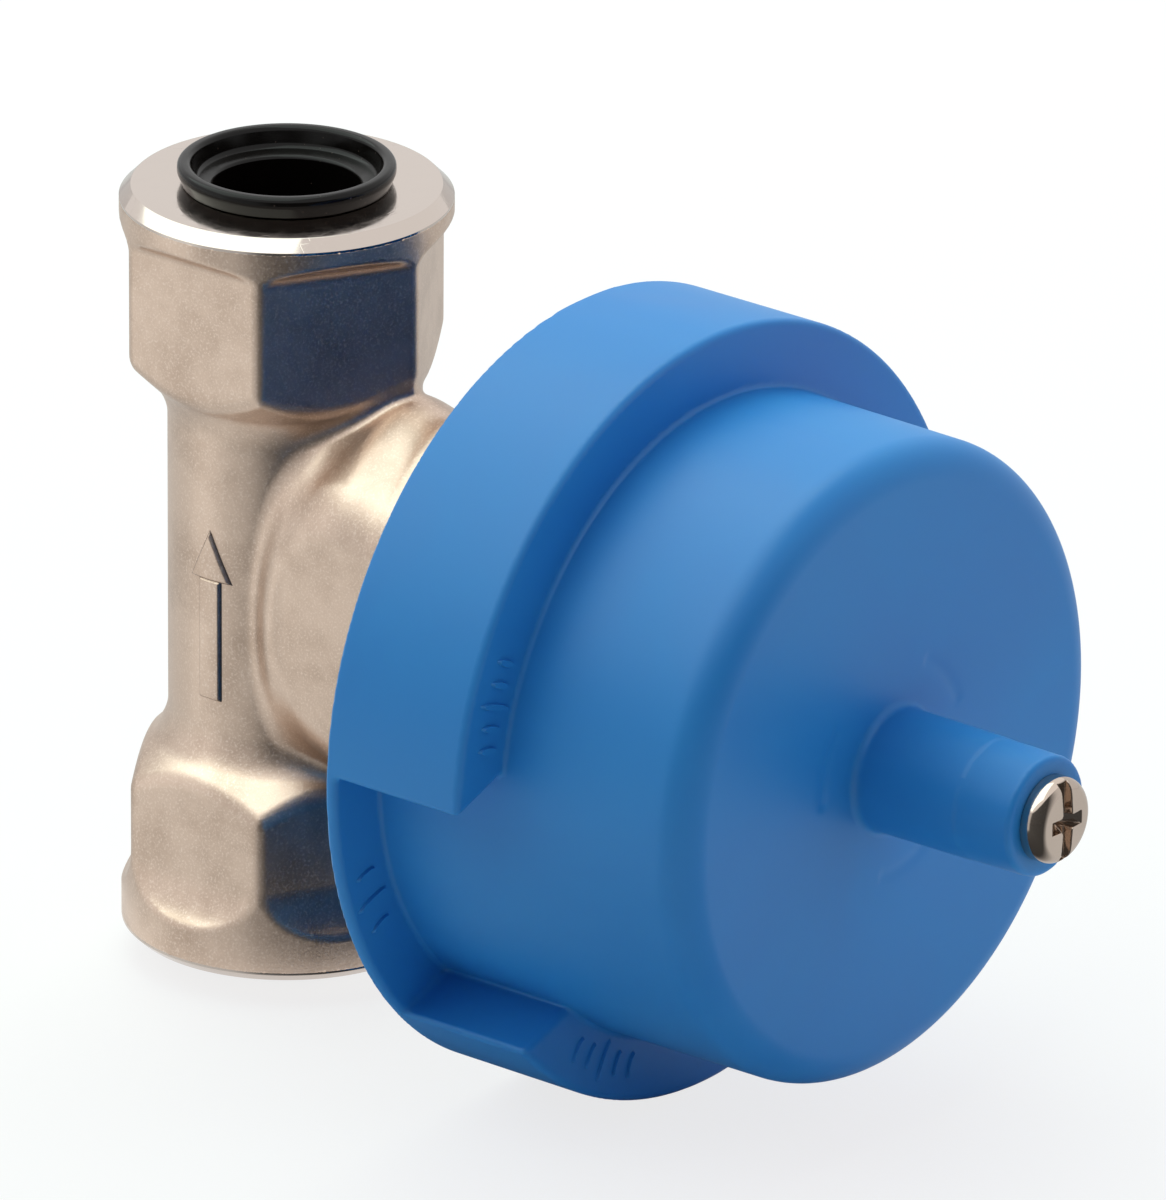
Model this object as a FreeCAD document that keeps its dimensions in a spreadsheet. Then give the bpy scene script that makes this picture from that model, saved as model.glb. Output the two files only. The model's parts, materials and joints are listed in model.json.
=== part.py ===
import FreeCAD, Part
import math
import os
import re
import Sketcher

# Concealed volume control valve with its transit plug and plaster guard, in millimetres.
# +Z runs up the tube from the inlet to the outlet, and the origin is the centre of the inlet
# face. The headwork points along -Y at the height axis_height. Pieces of the headwork are drawn
# with their own Z along the headwork, counted from the tube's axis, and then laid along -Y.

SIZES = {
    # valve body, outside
    "body_length": 88.0,
    "axis_height": 41.0,
    "tube_radius": 13.2,
    "flats_width": 32.3,
    "collar_radius": 18.5,
    "collar_height": 4.0,
    "rim_chamfer": 1.3,
    "foot_chamfer": 0.9,
    "end_length": 24.4,
    # valve body, boss that carries the headwork
    "boss_half_width": 13.5,
    "boss_reach": 36.0,
    "boss_back": 17.5,
    "boss_back_depth": 11.2,
    "boss_rise": 16.0,
    "boss_drop": 12.2,
    "boss_crest_rise": 10.2,
    "boss_keel_drop": 8.0,
    "boss_knee": 23.0,
    "boss_knee_fall": 1.2,
    "boss_front_fall": 8.4,
    "mouth_radius": 17.0,
    "mouth_height": 4.0,
    # valve body, waterways
    "port_radius": 9.32,
    "port_depth": 15.0,
    "passage_radius": 4.6,
    "inlet_offset": 5.1,
    "outlet_offset": 7.2,
    "bridge_height": 5.2,
    "seat_reach": 4.0,
    "seat_bore_radius": 4.3,
    "chamber_radius": 11.19,
    "mouth_groove_radius": 13.1,
    "mouth_groove_depth": 1.9,
    # transit plug
    "plug_rim_radius": 12.1,
    "plug_rim_height": 2.6,
    "plug_dish_depth": 2.2,
    "plug_lip_rounding": 0.6,
    "plug_seat_radius": 11.4,
    "plug_thread_radius": 9.1,
    "plug_depth": 11.0,
    "plug_bore_radius": 7.8,
    "plug_floor": 2.0,
    "plug_wall": 1.4,
    # headwork
    "cage_radius": 9.2,
    "cage_bore_radius": 8.75,
    "cage_bore_reach": 18.0,
    "cage_gap": 0.4,
    "window_width": 9.0,
    "window_height": 5.0,
    "window_margin": 0.3,
    "thread_start": 21.0,
    "thread_clearance": 0.15,
    "bonnet_flats": 27.0,
    "bonnet_flange": 5.5,
    "flange_bevel_width": 4.0,
    "flange_bevel_height": 2.3,
    "neck_radius": 8.0,
    "neck_reach": 50.0,
    "neck_chamfer": 0.8,
    "spindle_radius": 5.0,
    "running_clearance": 0.05,
    "disc_clearance": 0.2,
    "disc_thickness": 3.0,
    "disc_window_inner": 2.0,
    "disc_window_outer": 6.6,
    "disc_window_angle": 82.0,
    "seal_thickness": 1.8,
    "seal_bore_radius": 5.2,
    "support_thickness": 0.8,
    "support_overlap": 0.3,
    "drive_slot": 4.0,
    "drive_depth": 1.4,
    "drive_clearance": 0.1,
    "carrier_thickness": 2.4,
    "carrier_width": 6.4,
    "carrier_end_gap": 0.3,
    "tongue_end_gap": 0.6,
    "shoulder_radius": 7.6,
    "slide_ring": 0.8,
    "slide_clearance": 0.05,
    "slide_bore_gap": 0.1,
    "o_ring_section": 1.3,
    "o_ring_clearance": 0.12,
    "o_ring_root_gap": 0.03,
    "o_ring_side_play": 0.3,
    "o_ring_first": 25.0,
    "o_ring_pitch": 5.0,
    "mouth_ring_section": 1.7,
    "mouth_ring_gap": 0.1,
    "clip_thickness": 1.0,
    "clip_radius": 6.6,
    "clip_gap": 4.0,
    "clip_clearance": 0.2,
    "clip_groove_depth": 0.8,
    "clip_bore_gap": 0.05,
    "stub_radius": 3.9,
    "stub_length": 10.0,
    "stub_step": 0.8,
    "stub_root": 0.4,
    "stub_teeth": 20,
    "tooth_height": 0.6,
    "tooth_root": 0.84,
    "tooth_crest": 0.24,
    # spindle extension
    "socket_radius": 6.0,
    "socket_length": 13.0,
    "socket_clearance": 0.05,
    "socket_gap": 0.3,
    "socket_chamfer": 0.5,
    "socket_point": 1.2,
    "rod_radius": 4.0,
    "rod_chamfer": 0.6,
    "grub_radius": 1.5,
    "grub_place": 5.0,
    "grub_recess": 0.2,
    "tapping_radius": 2.5,
    "tapping_depth": 16.0,
    "tapping_point": 1.4,
    # plaster guard
    "guard_back": 42.0,
    "guard_min": 43.4,
    "guard_max": 60.4,
    "guard_face": 85.3,
    "flange_radius": 44.0,
    "cup_radius": 36.6,
    "cup_front_radius": 36.15,
    "guard_wall": 1.5,
    "face_wall": 1.9,
    "cavity_rounding": 0.8,
    "edge_rounding": 0.8,
    "cup_fillet": 4.0,
    "notch_width": 33.2,
    "notch_angle": 200.3,
    "post_radius": 7.0,
    "post_tip_radius": 6.82,
    "post_root": 0.9,
    "post_end": 106.25,
    "post_end_wall": 2.6,
    "post_chamfer": 0.6,
    "post_bore_clearance": 0.5,
    "sleeve_radius": 6.4,
    "sleeve_back": 72.0,
    "leg_radius": 11.6,
    "leg_angle": 44.0,
    "leg_length": 16.0,
    "leg_start": 42.0,
    "leg_draft": 0.2,
    "rib_thickness": 1.4,
    "rib_count": 6,
    "rib_length": 12.0,
    "rib_end_height": 1.0,
    "rib_root": 0.2,
    "rib_overlap": 0.3,
    # guard screw
    "screw_radius": 2.4,
    "screw_length": 14.0,
    "screw_hole_gap": 0.3,
    "screw_point": 0.4,
    "head_radius": 5.1,
    "head_height": 3.8,
    "head_side": 1.3,
}

DOC = FreeCAD.newDocument("valve")
SHEET = DOC.addObject("Spreadsheet::Sheet", "sizes")
for row, (alias, amount) in enumerate(SIZES.items(), start=1):
    SHEET.set(f"A{row}", alias)
    SHEET.set(f"B{row}", str(amount))
    SHEET.setAlias(f"B{row}", alias)
DOC.recompute()


def linked(text):
    """Turn an expression in the words of the sheet into one that FreeCAD reads."""
    def cell(word):
        return "sizes." + word.group() if word.group() in SIZES else word.group()
    return re.sub(r"[a-z_]+", cell, text)


def bind(item, **properties):
    """Tie properties to expressions; a double underscore in a name stands for a dot."""
    for name, text in properties.items():
        item.setExpression(name.replace("__", "."), linked(text))


def new_body(label):
    body = DOC.addObject("PartDesign::Body", label)
    body.Label = label
    return body


def origin_part(body, role):
    return next(item for item in body.Origin.OriginFeatures if item.Role == role)


def new_sketch(body, name, role, **offset):
    """Place a sketch on an origin plane, moved by AttachmentOffset in the sketch's own axes."""
    sketch = body.newObject("Sketcher::SketchObject", name)
    sketch.AttachmentSupport = [(origin_part(body, role), "")]
    sketch.MapMode = "FlatFace"
    for axis, text in offset.items():
        bind(sketch, **{"AttachmentOffset__Base__" + axis: text})
    return sketch


def polygon(sketch, points):
    """Add a closed outline whose corners are held by expressions measured from the sketch's origin."""
    count = len(points)
    turn = 2 * math.pi / count
    start = [FreeCAD.Vector(30 * math.cos(turn * i), 30 * math.sin(turn * i), 0) for i in range(count)]
    first = sketch.GeometryCount
    for i in range(count):
        sketch.addGeometry(Part.LineSegment(start[i], start[(i + 1) % count]))
    for i in range(count):
        sketch.addConstraint(Sketcher.Constraint("Coincident", first + i, 2, first + (i + 1) % count, 1))
    for i, (across, along) in enumerate(points):
        for kind, text, amount in (("DistanceX", across, start[i].x), ("DistanceY", along, start[i].y)):
            number = sketch.addConstraint(Sketcher.Constraint(kind, -1, 1, first + i, 1, amount))
            sketch.setExpression(f"Constraints[{number}]", linked(text))
    return sketch


def circle(sketch, across, along, radius):
    """Add a circle whose centre and radius are held by expressions."""
    number = sketch.addGeometry(Part.Circle(FreeCAD.Vector(5, 5, 0), FreeCAD.Vector(0, 0, 1), 3))
    for kind, text in (("DistanceX", across), ("DistanceY", along)):
        held = sketch.addConstraint(Sketcher.Constraint(kind, -1, 1, number, 3, 5))
        sketch.setExpression(f"Constraints[{held}]", linked(text))
    held = sketch.addConstraint(Sketcher.Constraint("Radius", number, 3))
    sketch.setExpression(f"Constraints[{held}]", linked(radius))
    return sketch


def revolve(body, name, points, kind="Revolution"):
    """Turn an outline (distance from Z, height) about the body's Z."""
    sketch = polygon(new_sketch(body, name + "_outline", "XZ_Plane"), points)
    feature = body.newObject("PartDesign::" + kind, name)
    feature.Profile = sketch
    feature.ReferenceAxis = (sketch, ["V_Axis"])
    feature.Angle = 360.0
    return feature


def extrude(body, name, sketch, length, kind="Pad", both=False, back=False):
    """Pad or pocket a sketch by an expression, on one side or on both."""
    feature = body.newObject("PartDesign::" + kind, name)
    feature.Profile = sketch
    feature.Midplane = both
    feature.Reversed = back
    bind(feature, Length=length)
    return feature


def around(body, name, features, count, angle=360.0):
    """Repeat features about the body's Z."""
    pattern = body.newObject("PartDesign::PolarPattern", name)
    pattern.Originals = features
    pattern.Axis = (origin_part(body, "Z_Axis"), [""])
    pattern.Angle = angle
    pattern.Occurrences = count
    body.Tip = pattern
    return pattern


def rims(body, radius, height, slack=0.02):
    """Name the round edges of one radius at one height on the body's Z."""
    DOC.recompute()
    names = []
    for number, edge in enumerate(body.Tip.Shape.Edges, start=1):
        curve = edge.Curve
        if isinstance(curve, Part.Circle) and abs(curve.Radius - radius) < slack:
            if math.hypot(curve.Center.x, curve.Center.y) < slack and abs(curve.Center.z - height) < slack:
                names.append(f"Edge{number}")
    return names


def fillet(body, name, edges, radius):
    base = body.Tip
    feature = body.newObject("PartDesign::Fillet", name)
    feature.Base = (base, edges)
    bind(feature, Radius=radius)
    return feature


def turned(axis, angle):
    """Placement that only turns."""
    return FreeCAD.Placement(FreeCAD.Vector(), FreeCAD.Rotation(axis, angle))


def lay_along_headwork(body):
    """Turn the piece's own Z to -Y at the height of the headwork."""
    body.Placement = turned(FreeCAD.Vector(1, 0, 0), 90)
    bind(body, Placement__Base__z="axis_height")


def of(alias):
    return float(SHEET.get(alias))


def make_valve_body():
    body = new_body("valve_body")
    flare = "(collar_radius - tube_radius)"
    revolve(body, "barrel", [
        ("0", "0"),
        ("collar_radius - foot_chamfer", "0"),
        ("collar_radius", "foot_chamfer"),
        ("collar_radius", f"end_length - {flare}"),
        ("tube_radius", "end_length"),
        ("tube_radius", "body_length - end_length"),
        ("collar_radius", f"body_length - end_length + {flare}"),
        ("collar_radius", "body_length - rim_chamfer"),
        ("collar_radius - rim_chamfer", "body_length"),
        ("0", "body_length"),
    ])
    # wrench flats, which fade out under the collars at 45 degrees
    outside = "(collar_radius + 2)"
    slope = f"({outside} - flats_width / 2)"
    low = polygon(new_sketch(body, "low_flat_outline", "XZ_Plane"), [
        ("flats_width / 2", "collar_height + collar_radius - flats_width / 2"),
        ("flats_width / 2", "end_length"),
        (outside, "end_length"),
        (outside, f"collar_height + collar_radius - flats_width / 2 - {slope}"),
    ])
    low_flat = extrude(body, "low_flat", low, "3 * collar_radius", "Pocket", both=True)
    around(body, "low_flats", [low_flat], 6)
    high = polygon(new_sketch(body, "high_flat_outline", "XZ_Plane"), [
        ("flats_width / 2", "body_length - end_length"),
        ("flats_width / 2", "body_length - collar_height - collar_radius + flats_width / 2"),
        (outside, f"body_length - collar_height - collar_radius + flats_width / 2 + {slope}"),
        (outside, "body_length - end_length"),
    ])
    high_flat = extrude(body, "high_flat", high, "3 * collar_radius", "Pocket", both=True)
    around(body, "high_flats", [high_flat], 6)
    make_boss(body)
    make_waterways(body)
    return body


def make_boss(body):
    """Forged boss: flat sides with an elliptical rear, under a ridged roof and over a ridged keel."""
    upper = []
    lower = []
    for angle in (8, 28, 50, 75):
        reach = f"-(boss_back - boss_back_depth * cos({angle} deg))"
        upper.append((reach, f"boss_rise * sin({angle} deg)"))
        lower.append((reach, f"-(boss_drop * sin({angle} deg))"))
    front = "-(boss_reach - mouth_height)"
    upper += [("-boss_knee", "boss_rise - boss_knee_fall"), (front, "boss_rise - boss_front_fall")]
    lower.append(("-boss_knee", "-(boss_drop - boss_knee_fall / 2)"))
    lower.append((front, "-(boss_drop - boss_front_fall / 2)"))
    sides = polygon(new_sketch(body, "boss_side_outline", "YZ_Plane", y="axis_height"), upper + lower[::-1])
    extrude(body, "boss_sides", sides, "2 * boss_half_width", both=True)
    slopes = []
    for name, outline, lift in (("roof", upper, "boss_crest_rise"), ("keel", lower, "-boss_keel_drop")):
        raised = [(reach, f"{height} + {lift}") for reach, height in outline]
        raised += [(front, lift), (outline[0][0], lift)]
        sketch = polygon(new_sketch(body, "boss_" + name + "_outline", "YZ_Plane", y="axis_height"), raised)
        slope = extrude(body, "boss_" + name, sketch, f"sqrt(boss_half_width ^ 2 + ({lift}) ^ 2)")
        slope.UseCustomVector = True
        slope.AlongSketchNormal = False
        bind(slope, Direction__x="boss_half_width", Direction__y="0", Direction__z=f"-({lift})")
        slopes.append(slope)
    mirror = body.newObject("PartDesign::Mirrored", "boss_other_side")
    mirror.Originals = slopes
    mirror.MirrorPlane = (origin_part(body, "YZ_Plane"), [""])
    body.Tip = mirror
    mouth = new_sketch(body, "mouth_outline", "XZ_Plane", y="axis_height", z="boss_reach - mouth_height")
    extrude(body, "mouth", circle(mouth, "0", "0", "mouth_radius"), "mouth_height")


def groove_along_boss(body, name, points):
    """Cut an outline (reach from the tube's axis, distance from the boss's axis) round the boss."""
    sketch = new_sketch(body, name + "_outline", "YZ_Plane", y="axis_height")
    polygon(sketch, [(f"-({reach})", radius) for reach, radius in points])
    feature = body.newObject("PartDesign::Groove", name)
    feature.Profile = sketch
    feature.ReferenceAxis = (sketch, ["H_Axis"])
    feature.Angle = 360.0


def make_waterways(body):
    revolve(body, "inlet_port", [
        ("0", "-1"), ("port_radius", "-1"), ("port_radius", "port_depth"), ("0", "port_depth"),
    ], "Groove")
    revolve(body, "outlet_port", [
        ("0", "body_length + 1"), ("port_radius", "body_length + 1"),
        ("port_radius", "body_length - port_depth"), ("0", "body_length - port_depth"),
    ], "Groove")
    rise = circle(new_sketch(body, "inlet_passage_outline", "XY_Plane", z="port_depth"),
                  "0", "inlet_offset", "passage_radius")
    extrude(body, "inlet_passage", rise, "axis_height - port_depth + bridge_height", "Pocket", back=True)
    fall = circle(new_sketch(body, "outlet_passage_outline", "XY_Plane", z="axis_height"),
                  "0", "-outlet_offset", "passage_radius")
    extrude(body, "outlet_passage", fall, "body_length - port_depth - axis_height", "Pocket", back=True)
    groove_along_boss(body, "seat_hole", [
        ("-inlet_offset", "0"), ("-inlet_offset", "seat_bore_radius"),
        ("seat_reach + 1", "seat_bore_radius"), ("seat_reach + 1", "0"),
    ])
    groove_along_boss(body, "chamber", [
        ("seat_reach", "0"), ("seat_reach", "chamber_radius"),
        ("boss_reach - mouth_groove_depth", "chamber_radius"),
        ("boss_reach - mouth_groove_depth", "mouth_groove_radius"),
        ("boss_reach + 1", "mouth_groove_radius"), ("boss_reach + 1", "0"),
    ])


def make_outlet_plug():
    """Moulded transit plug: a threaded cup under a dished rim that rests on the outlet's face."""
    body = new_body("outlet_plug")
    dish = "body_length + plug_rim_height - plug_dish_depth"
    revolve(body, "cup", [
        ("0", "body_length - plug_depth"),
        ("plug_thread_radius", "body_length - plug_depth"),
        ("plug_thread_radius", "body_length"),
        ("plug_seat_radius", "body_length"),
        ("plug_rim_radius", "body_length + plug_rim_height / 2"),
        ("plug_rim_radius", "body_length + plug_rim_height"),
        ("plug_rim_radius - plug_wall", "body_length + plug_rim_height"),
        ("plug_rim_radius - plug_wall", dish),
        ("plug_bore_radius", dish),
        ("plug_bore_radius", "body_length - plug_depth + plug_floor"),
        ("0", "body_length - plug_depth + plug_floor"),
    ])
    rim = of("body_length") + of("plug_rim_height")
    edges = rims(body, of("plug_rim_radius"), rim)
    edges += rims(body, of("plug_rim_radius") - of("plug_wall"), rim)
    fillet(body, "lip", edges, "plug_lip_rounding")
    return body


SEAL_TOP = "(seat_reach + seal_thickness)"
SUPPORT_TOP = f"({SEAL_TOP} + support_thickness)"
FIXED_TOP = f"({SUPPORT_TOP} + disc_thickness)"
DISC_TOP = f"({FIXED_TOP} + disc_thickness)"
CARRIER_LOW = f"({DISC_TOP} + drive_clearance)"
CARRIER_TOP = f"({CARRIER_LOW} + carrier_thickness)"
SHOULDER_TOP = "(cage_bore_reach - slide_clearance - slide_ring)"
SPINDLE_BORE = "(spindle_radius + running_clearance)"
THREAD_RADIUS = "(chamber_radius - thread_clearance)"
RING_GROOVE = "(spindle_radius + running_clearance - o_ring_clearance - o_ring_section - o_ring_root_gap)"
RING_WIDTH = "(o_ring_section + o_ring_side_play)"
CLIP_LOW = "(neck_reach + clip_clearance / 2)"
STUB_LOW = f"({CLIP_LOW} + clip_thickness + clip_clearance + stub_step)"
STUB_TOP = f"({STUB_LOW} + stub_length)"
ROD_END = "(post_end - post_end_wall)"
SOCKET_LOW = f"({STUB_LOW} + socket_gap)"


def ring(label, radius, height, section):
    """Round-section ring: centre line radius, height of its centre, thickness."""
    body = new_body(label)
    sketch = circle(new_sketch(body, label + "_outline", "XZ_Plane"), radius, height, section + " / 2")
    feature = body.newObject("PartDesign::Revolution", label + "_ring")
    feature.Profile = sketch
    feature.ReferenceAxis = (sketch, ["V_Axis"])
    feature.Angle = 360.0
    lay_along_headwork(body)
    return body


def washer(label, inner, outer, low, high):
    body = new_body(label)
    revolve(body, label + "_turning", [(inner, low), (outer, low), (outer, high), (inner, high)])
    lay_along_headwork(body)
    return body


def disc(label, low, high, first_angle):
    """Ceramic disc with two facing sector windows."""
    body = new_body(label)
    outer = "(cage_bore_radius - disc_clearance)"
    revolve(body, label + "_blank", [("0", low), (outer, low), (outer, high), ("0", high)])
    sketch = polygon(new_sketch(body, label + "_window_outline", "XZ_Plane"), [
        ("disc_window_inner", low + " - 1"), ("disc_window_outer", low + " - 1"),
        ("disc_window_outer", high + " + 1"), ("disc_window_inner", high + " + 1"),
    ])
    sketch.AttachmentOffset = turned(FreeCAD.Vector(0, 1, 0), first_angle)
    window = body.newObject("PartDesign::Groove", label + "_window")
    window.Profile = sketch
    window.ReferenceAxis = (sketch, ["V_Axis"])
    window.Midplane = True
    bind(window, Angle="disc_window_angle")
    around(body, label + "_windows", [window], 2)
    lay_along_headwork(body)
    return body


def bar(body, name, half_across, half_along, low, high, kind="Pad"):
    """Straight bar across the piece's own Z, long along its own Y."""
    sketch = polygon(new_sketch(body, name + "_outline", "XY_Plane", z=low), [
        (f"-({half_across})", f"-({half_along})"), (half_across, f"-({half_along})"),
        (half_across, half_along), (f"-({half_across})", half_along),
    ])
    return extrude(body, name, sketch, f"{high} - {low}", kind, back=(kind == "Pocket"))


def make_turning_disc():
    body = disc("turning_disc", FIXED_TOP, DISC_TOP, 0)
    bar(body, "drive_slot_cut", "drive_slot / 2", "cage_bore_radius", f"({DISC_TOP} - drive_depth)",
        f"({DISC_TOP} + 1)", "Pocket")
    return body


def make_spindle():
    body = new_body("spindle")
    lower = "o_ring_first"
    upper = "(o_ring_first + o_ring_pitch)"
    revolve(body, "stem", [
        ("0", CARRIER_TOP), ("shoulder_radius", CARRIER_TOP), ("shoulder_radius", SHOULDER_TOP),
        ("spindle_radius", SHOULDER_TOP),
        ("spindle_radius", lower), (RING_GROOVE, lower),
        (RING_GROOVE, f"{lower} + {RING_WIDTH}"), ("spindle_radius", f"{lower} + {RING_WIDTH}"),
        ("spindle_radius", upper), (RING_GROOVE, upper),
        (RING_GROOVE, f"{upper} + {RING_WIDTH}"), ("spindle_radius", f"{upper} + {RING_WIDTH}"),
        ("spindle_radius", CLIP_LOW), ("spindle_radius - clip_groove_depth", CLIP_LOW),
        ("spindle_radius - clip_groove_depth", f"{CLIP_LOW} + clip_thickness + clip_clearance"),
        ("spindle_radius", f"{CLIP_LOW} + clip_thickness + clip_clearance"),
        ("spindle_radius", STUB_LOW), ("stub_radius - stub_root", STUB_LOW),
        ("stub_radius - stub_root", STUB_TOP), ("0", STUB_TOP),
    ])
    bar(body, "carrier", "carrier_width / 2", "shoulder_radius - carrier_end_gap", CARRIER_LOW, CARRIER_TOP)
    bar(body, "tongue", "drive_slot / 2 - drive_clearance", "shoulder_radius - tongue_end_gap",
        f"({DISC_TOP} - drive_depth)", CARRIER_LOW)
    tooth = polygon(new_sketch(body, "tooth_outline", "XY_Plane", z=STUB_LOW), [
        ("stub_radius - tooth_height", "-tooth_root / 2"), ("stub_radius", "-tooth_crest / 2"),
        ("stub_radius", "tooth_crest / 2"), ("stub_radius - tooth_height", "tooth_root / 2"),
    ])
    teeth = extrude(body, "tooth", tooth, "stub_length")
    around(body, "teeth", [teeth], int(of("stub_teeth")))
    lay_along_headwork(body)
    return body


def make_circlip():
    body = new_body("spindle_circlip")
    low = f"({CLIP_LOW} + clip_clearance / 2)"
    bore = "spindle_radius - clip_groove_depth + clip_bore_gap"
    revolve(body, "clip_ring", [
        (bore, low), ("clip_radius", low),
        ("clip_radius", f"{low} + clip_thickness"), (bore, f"{low} + clip_thickness"),
    ])
    gap = polygon(new_sketch(body, "clip_gap_outline", "XY_Plane", z=f"({low} - 1)"), [
        ("0", "-clip_gap / 2"), ("clip_radius + 1", "-clip_gap / 2"),
        ("clip_radius + 1", "clip_gap / 2"), ("0", "clip_gap / 2"),
    ])
    extrude(body, "clip_gap_cut", gap, "clip_thickness + 2", "Pocket", back=True)
    lay_along_headwork(body)
    return body


def make_bonnet():
    """Brass headwork housing: disc cage, thread, spanner flange and neck."""
    body = new_body("bonnet")
    cage_end = "(seat_reach + cage_gap)"
    flange_top = "(boss_reach + bonnet_flange)"
    revolve(body, "housing", [
        ("0", cage_end), ("cage_radius", cage_end), ("cage_radius", "thread_start"),
        (THREAD_RADIUS, f"thread_start + {THREAD_RADIUS} - cage_radius"), (THREAD_RADIUS, flange_top),
        ("neck_radius", flange_top), ("neck_radius", "neck_reach - neck_chamfer"),
        ("neck_radius - neck_chamfer", "neck_reach"), ("0", "neck_reach"),
    ])
    hexagon = polygon(new_sketch(body, "flange_outline", "XY_Plane", z="boss_reach"), [
        (f"bonnet_flats / 2 / cos(30 deg) * cos({30 + 60 * i} deg)",
         f"bonnet_flats / 2 / cos(30 deg) * sin({30 + 60 * i} deg)") for i in range(6)
    ])
    extrude(body, "flange", hexagon, "bonnet_flange")
    revolve(body, "flange_chamfer", [
        ("bonnet_flats / 2", flange_top), ("bonnet_flats / 2 + flange_bevel_width", flange_top),
        ("bonnet_flats / 2 + flange_bevel_width", f"{flange_top} - flange_bevel_height"),
    ], "Groove")
    revolve(body, "bore", [
        ("0", "0"), ("cage_bore_radius", "0"), ("cage_bore_radius", "cage_bore_reach"),
        (SPINDLE_BORE, "cage_bore_reach"), (SPINDLE_BORE, "neck_reach + 1"), ("0", "neck_reach + 1"),
    ], "Groove")
    window_low = f"({DISC_TOP} - window_margin)"
    bar(body, "side_windows", "window_width / 2", "chamber_radius",
        window_low, f"({window_low} + window_height)", "Pocket")
    lay_along_headwork(body)
    return body


def make_extension():
    """Turned brass extension that carries the spindle out to the end of the guard's post."""
    body = new_body("spindle_extension")
    low = SOCKET_LOW
    socket_top = f"({low} + socket_length)"
    revolve(body, "rod", [
        ("0", low), ("socket_radius - socket_chamfer", low), ("socket_radius", low + " + socket_chamfer"),
        ("socket_radius", socket_top),
        ("rod_radius", f"{socket_top} + socket_radius - rod_radius"),
        ("rod_radius", ROD_END + " - rod_chamfer"),
        ("rod_radius - rod_chamfer", ROD_END), ("0", ROD_END),
    ])
    revolve(body, "socket", [
        ("0", low + " - 1"), ("stub_radius + socket_clearance", low + " - 1"),
        ("stub_radius + socket_clearance", f"{STUB_TOP} + socket_gap"),
        ("0", f"{STUB_TOP} + socket_gap + socket_point"),
    ], "Groove")
    revolve(body, "tapping", [
        ("0", ROD_END + " + 1"), ("tapping_radius", ROD_END + " + 1"),
        ("tapping_radius", ROD_END + " - tapping_depth"),
        ("0", ROD_END + " - tapping_depth - tapping_point"),
    ], "Groove")
    hole = circle(new_sketch(body, "grub_hole_outline", "YZ_Plane"), "0", f"{low} + grub_place",
                  "grub_radius + socket_clearance")
    extrude(body, "grub_hole", hole, "socket_radius + 1", "Pocket", back=True)
    lay_along_headwork(body)
    return body


def make_grub_screw():
    """Set screw that holds the extension on the spindle's splines."""
    body = new_body("extension_screw")
    inner = "stub_radius + socket_clearance"
    grub = circle(new_sketch(body, "grub_outline", "YZ_Plane", z=inner), "0",
                  f"{SOCKET_LOW} + grub_place", "grub_radius")
    extrude(body, "grub", grub, f"socket_radius - grub_recess - ({inner})")
    lay_along_headwork(body)
    return body


def ring_sector(sketch, inner, outer, half_gap):
    """Add a ring that is open on +X between two walls parallel to X."""
    gap = of("notch_width") / 2
    arcs = []
    ends = []
    for radius in (of("flange_radius"), of("cup_radius")):
        start = math.asin(gap / radius)
        whole = Part.Circle(FreeCAD.Vector(), FreeCAD.Vector(0, 0, 1), radius)
        arcs.append(sketch.addGeometry(Part.ArcOfCircle(whole, start, 2 * math.pi - start)))
        ends.append(radius * math.cos(start))
    for arc, text, radius in ((arcs[0], outer, of("flange_radius")), (arcs[1], inner, of("cup_radius"))):
        sketch.addConstraint(Sketcher.Constraint("Coincident", arc, 3, -1, 1))
        number = sketch.addConstraint(Sketcher.Constraint("Radius", arc, radius))
        sketch.setExpression(f"Constraints[{number}]", linked(text))
    for end, side, text in ((1, gap, half_gap), (2, -gap, f"-({half_gap})")):
        wall = sketch.addGeometry(Part.LineSegment(
            FreeCAD.Vector(ends[0], side, 0), FreeCAD.Vector(ends[1], side, 0)))
        sketch.addConstraint(Sketcher.Constraint("Coincident", wall, 1, arcs[0], end))
        sketch.addConstraint(Sketcher.Constraint("Coincident", wall, 2, arcs[1], end))
        sketch.addConstraint(Sketcher.Constraint("Horizontal", wall))
        number = sketch.addConstraint(Sketcher.Constraint("DistanceY", -1, 1, wall, 1, side))
        sketch.setExpression(f"Constraints[{number}]", linked(text))
    return sketch


def turned_about_z(sketch, angle_word):
    """Turn a sketch that lies on the XY plane about the piece's Z by an angle of the sheet."""
    base = sketch.AttachmentOffset.Base
    sketch.AttachmentOffset = FreeCAD.Placement(base, FreeCAD.Rotation(FreeCAD.Vector(0, 0, 1), 1))
    bind(sketch, AttachmentOffset__Rotation__Angle=angle_word)
    return sketch


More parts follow.
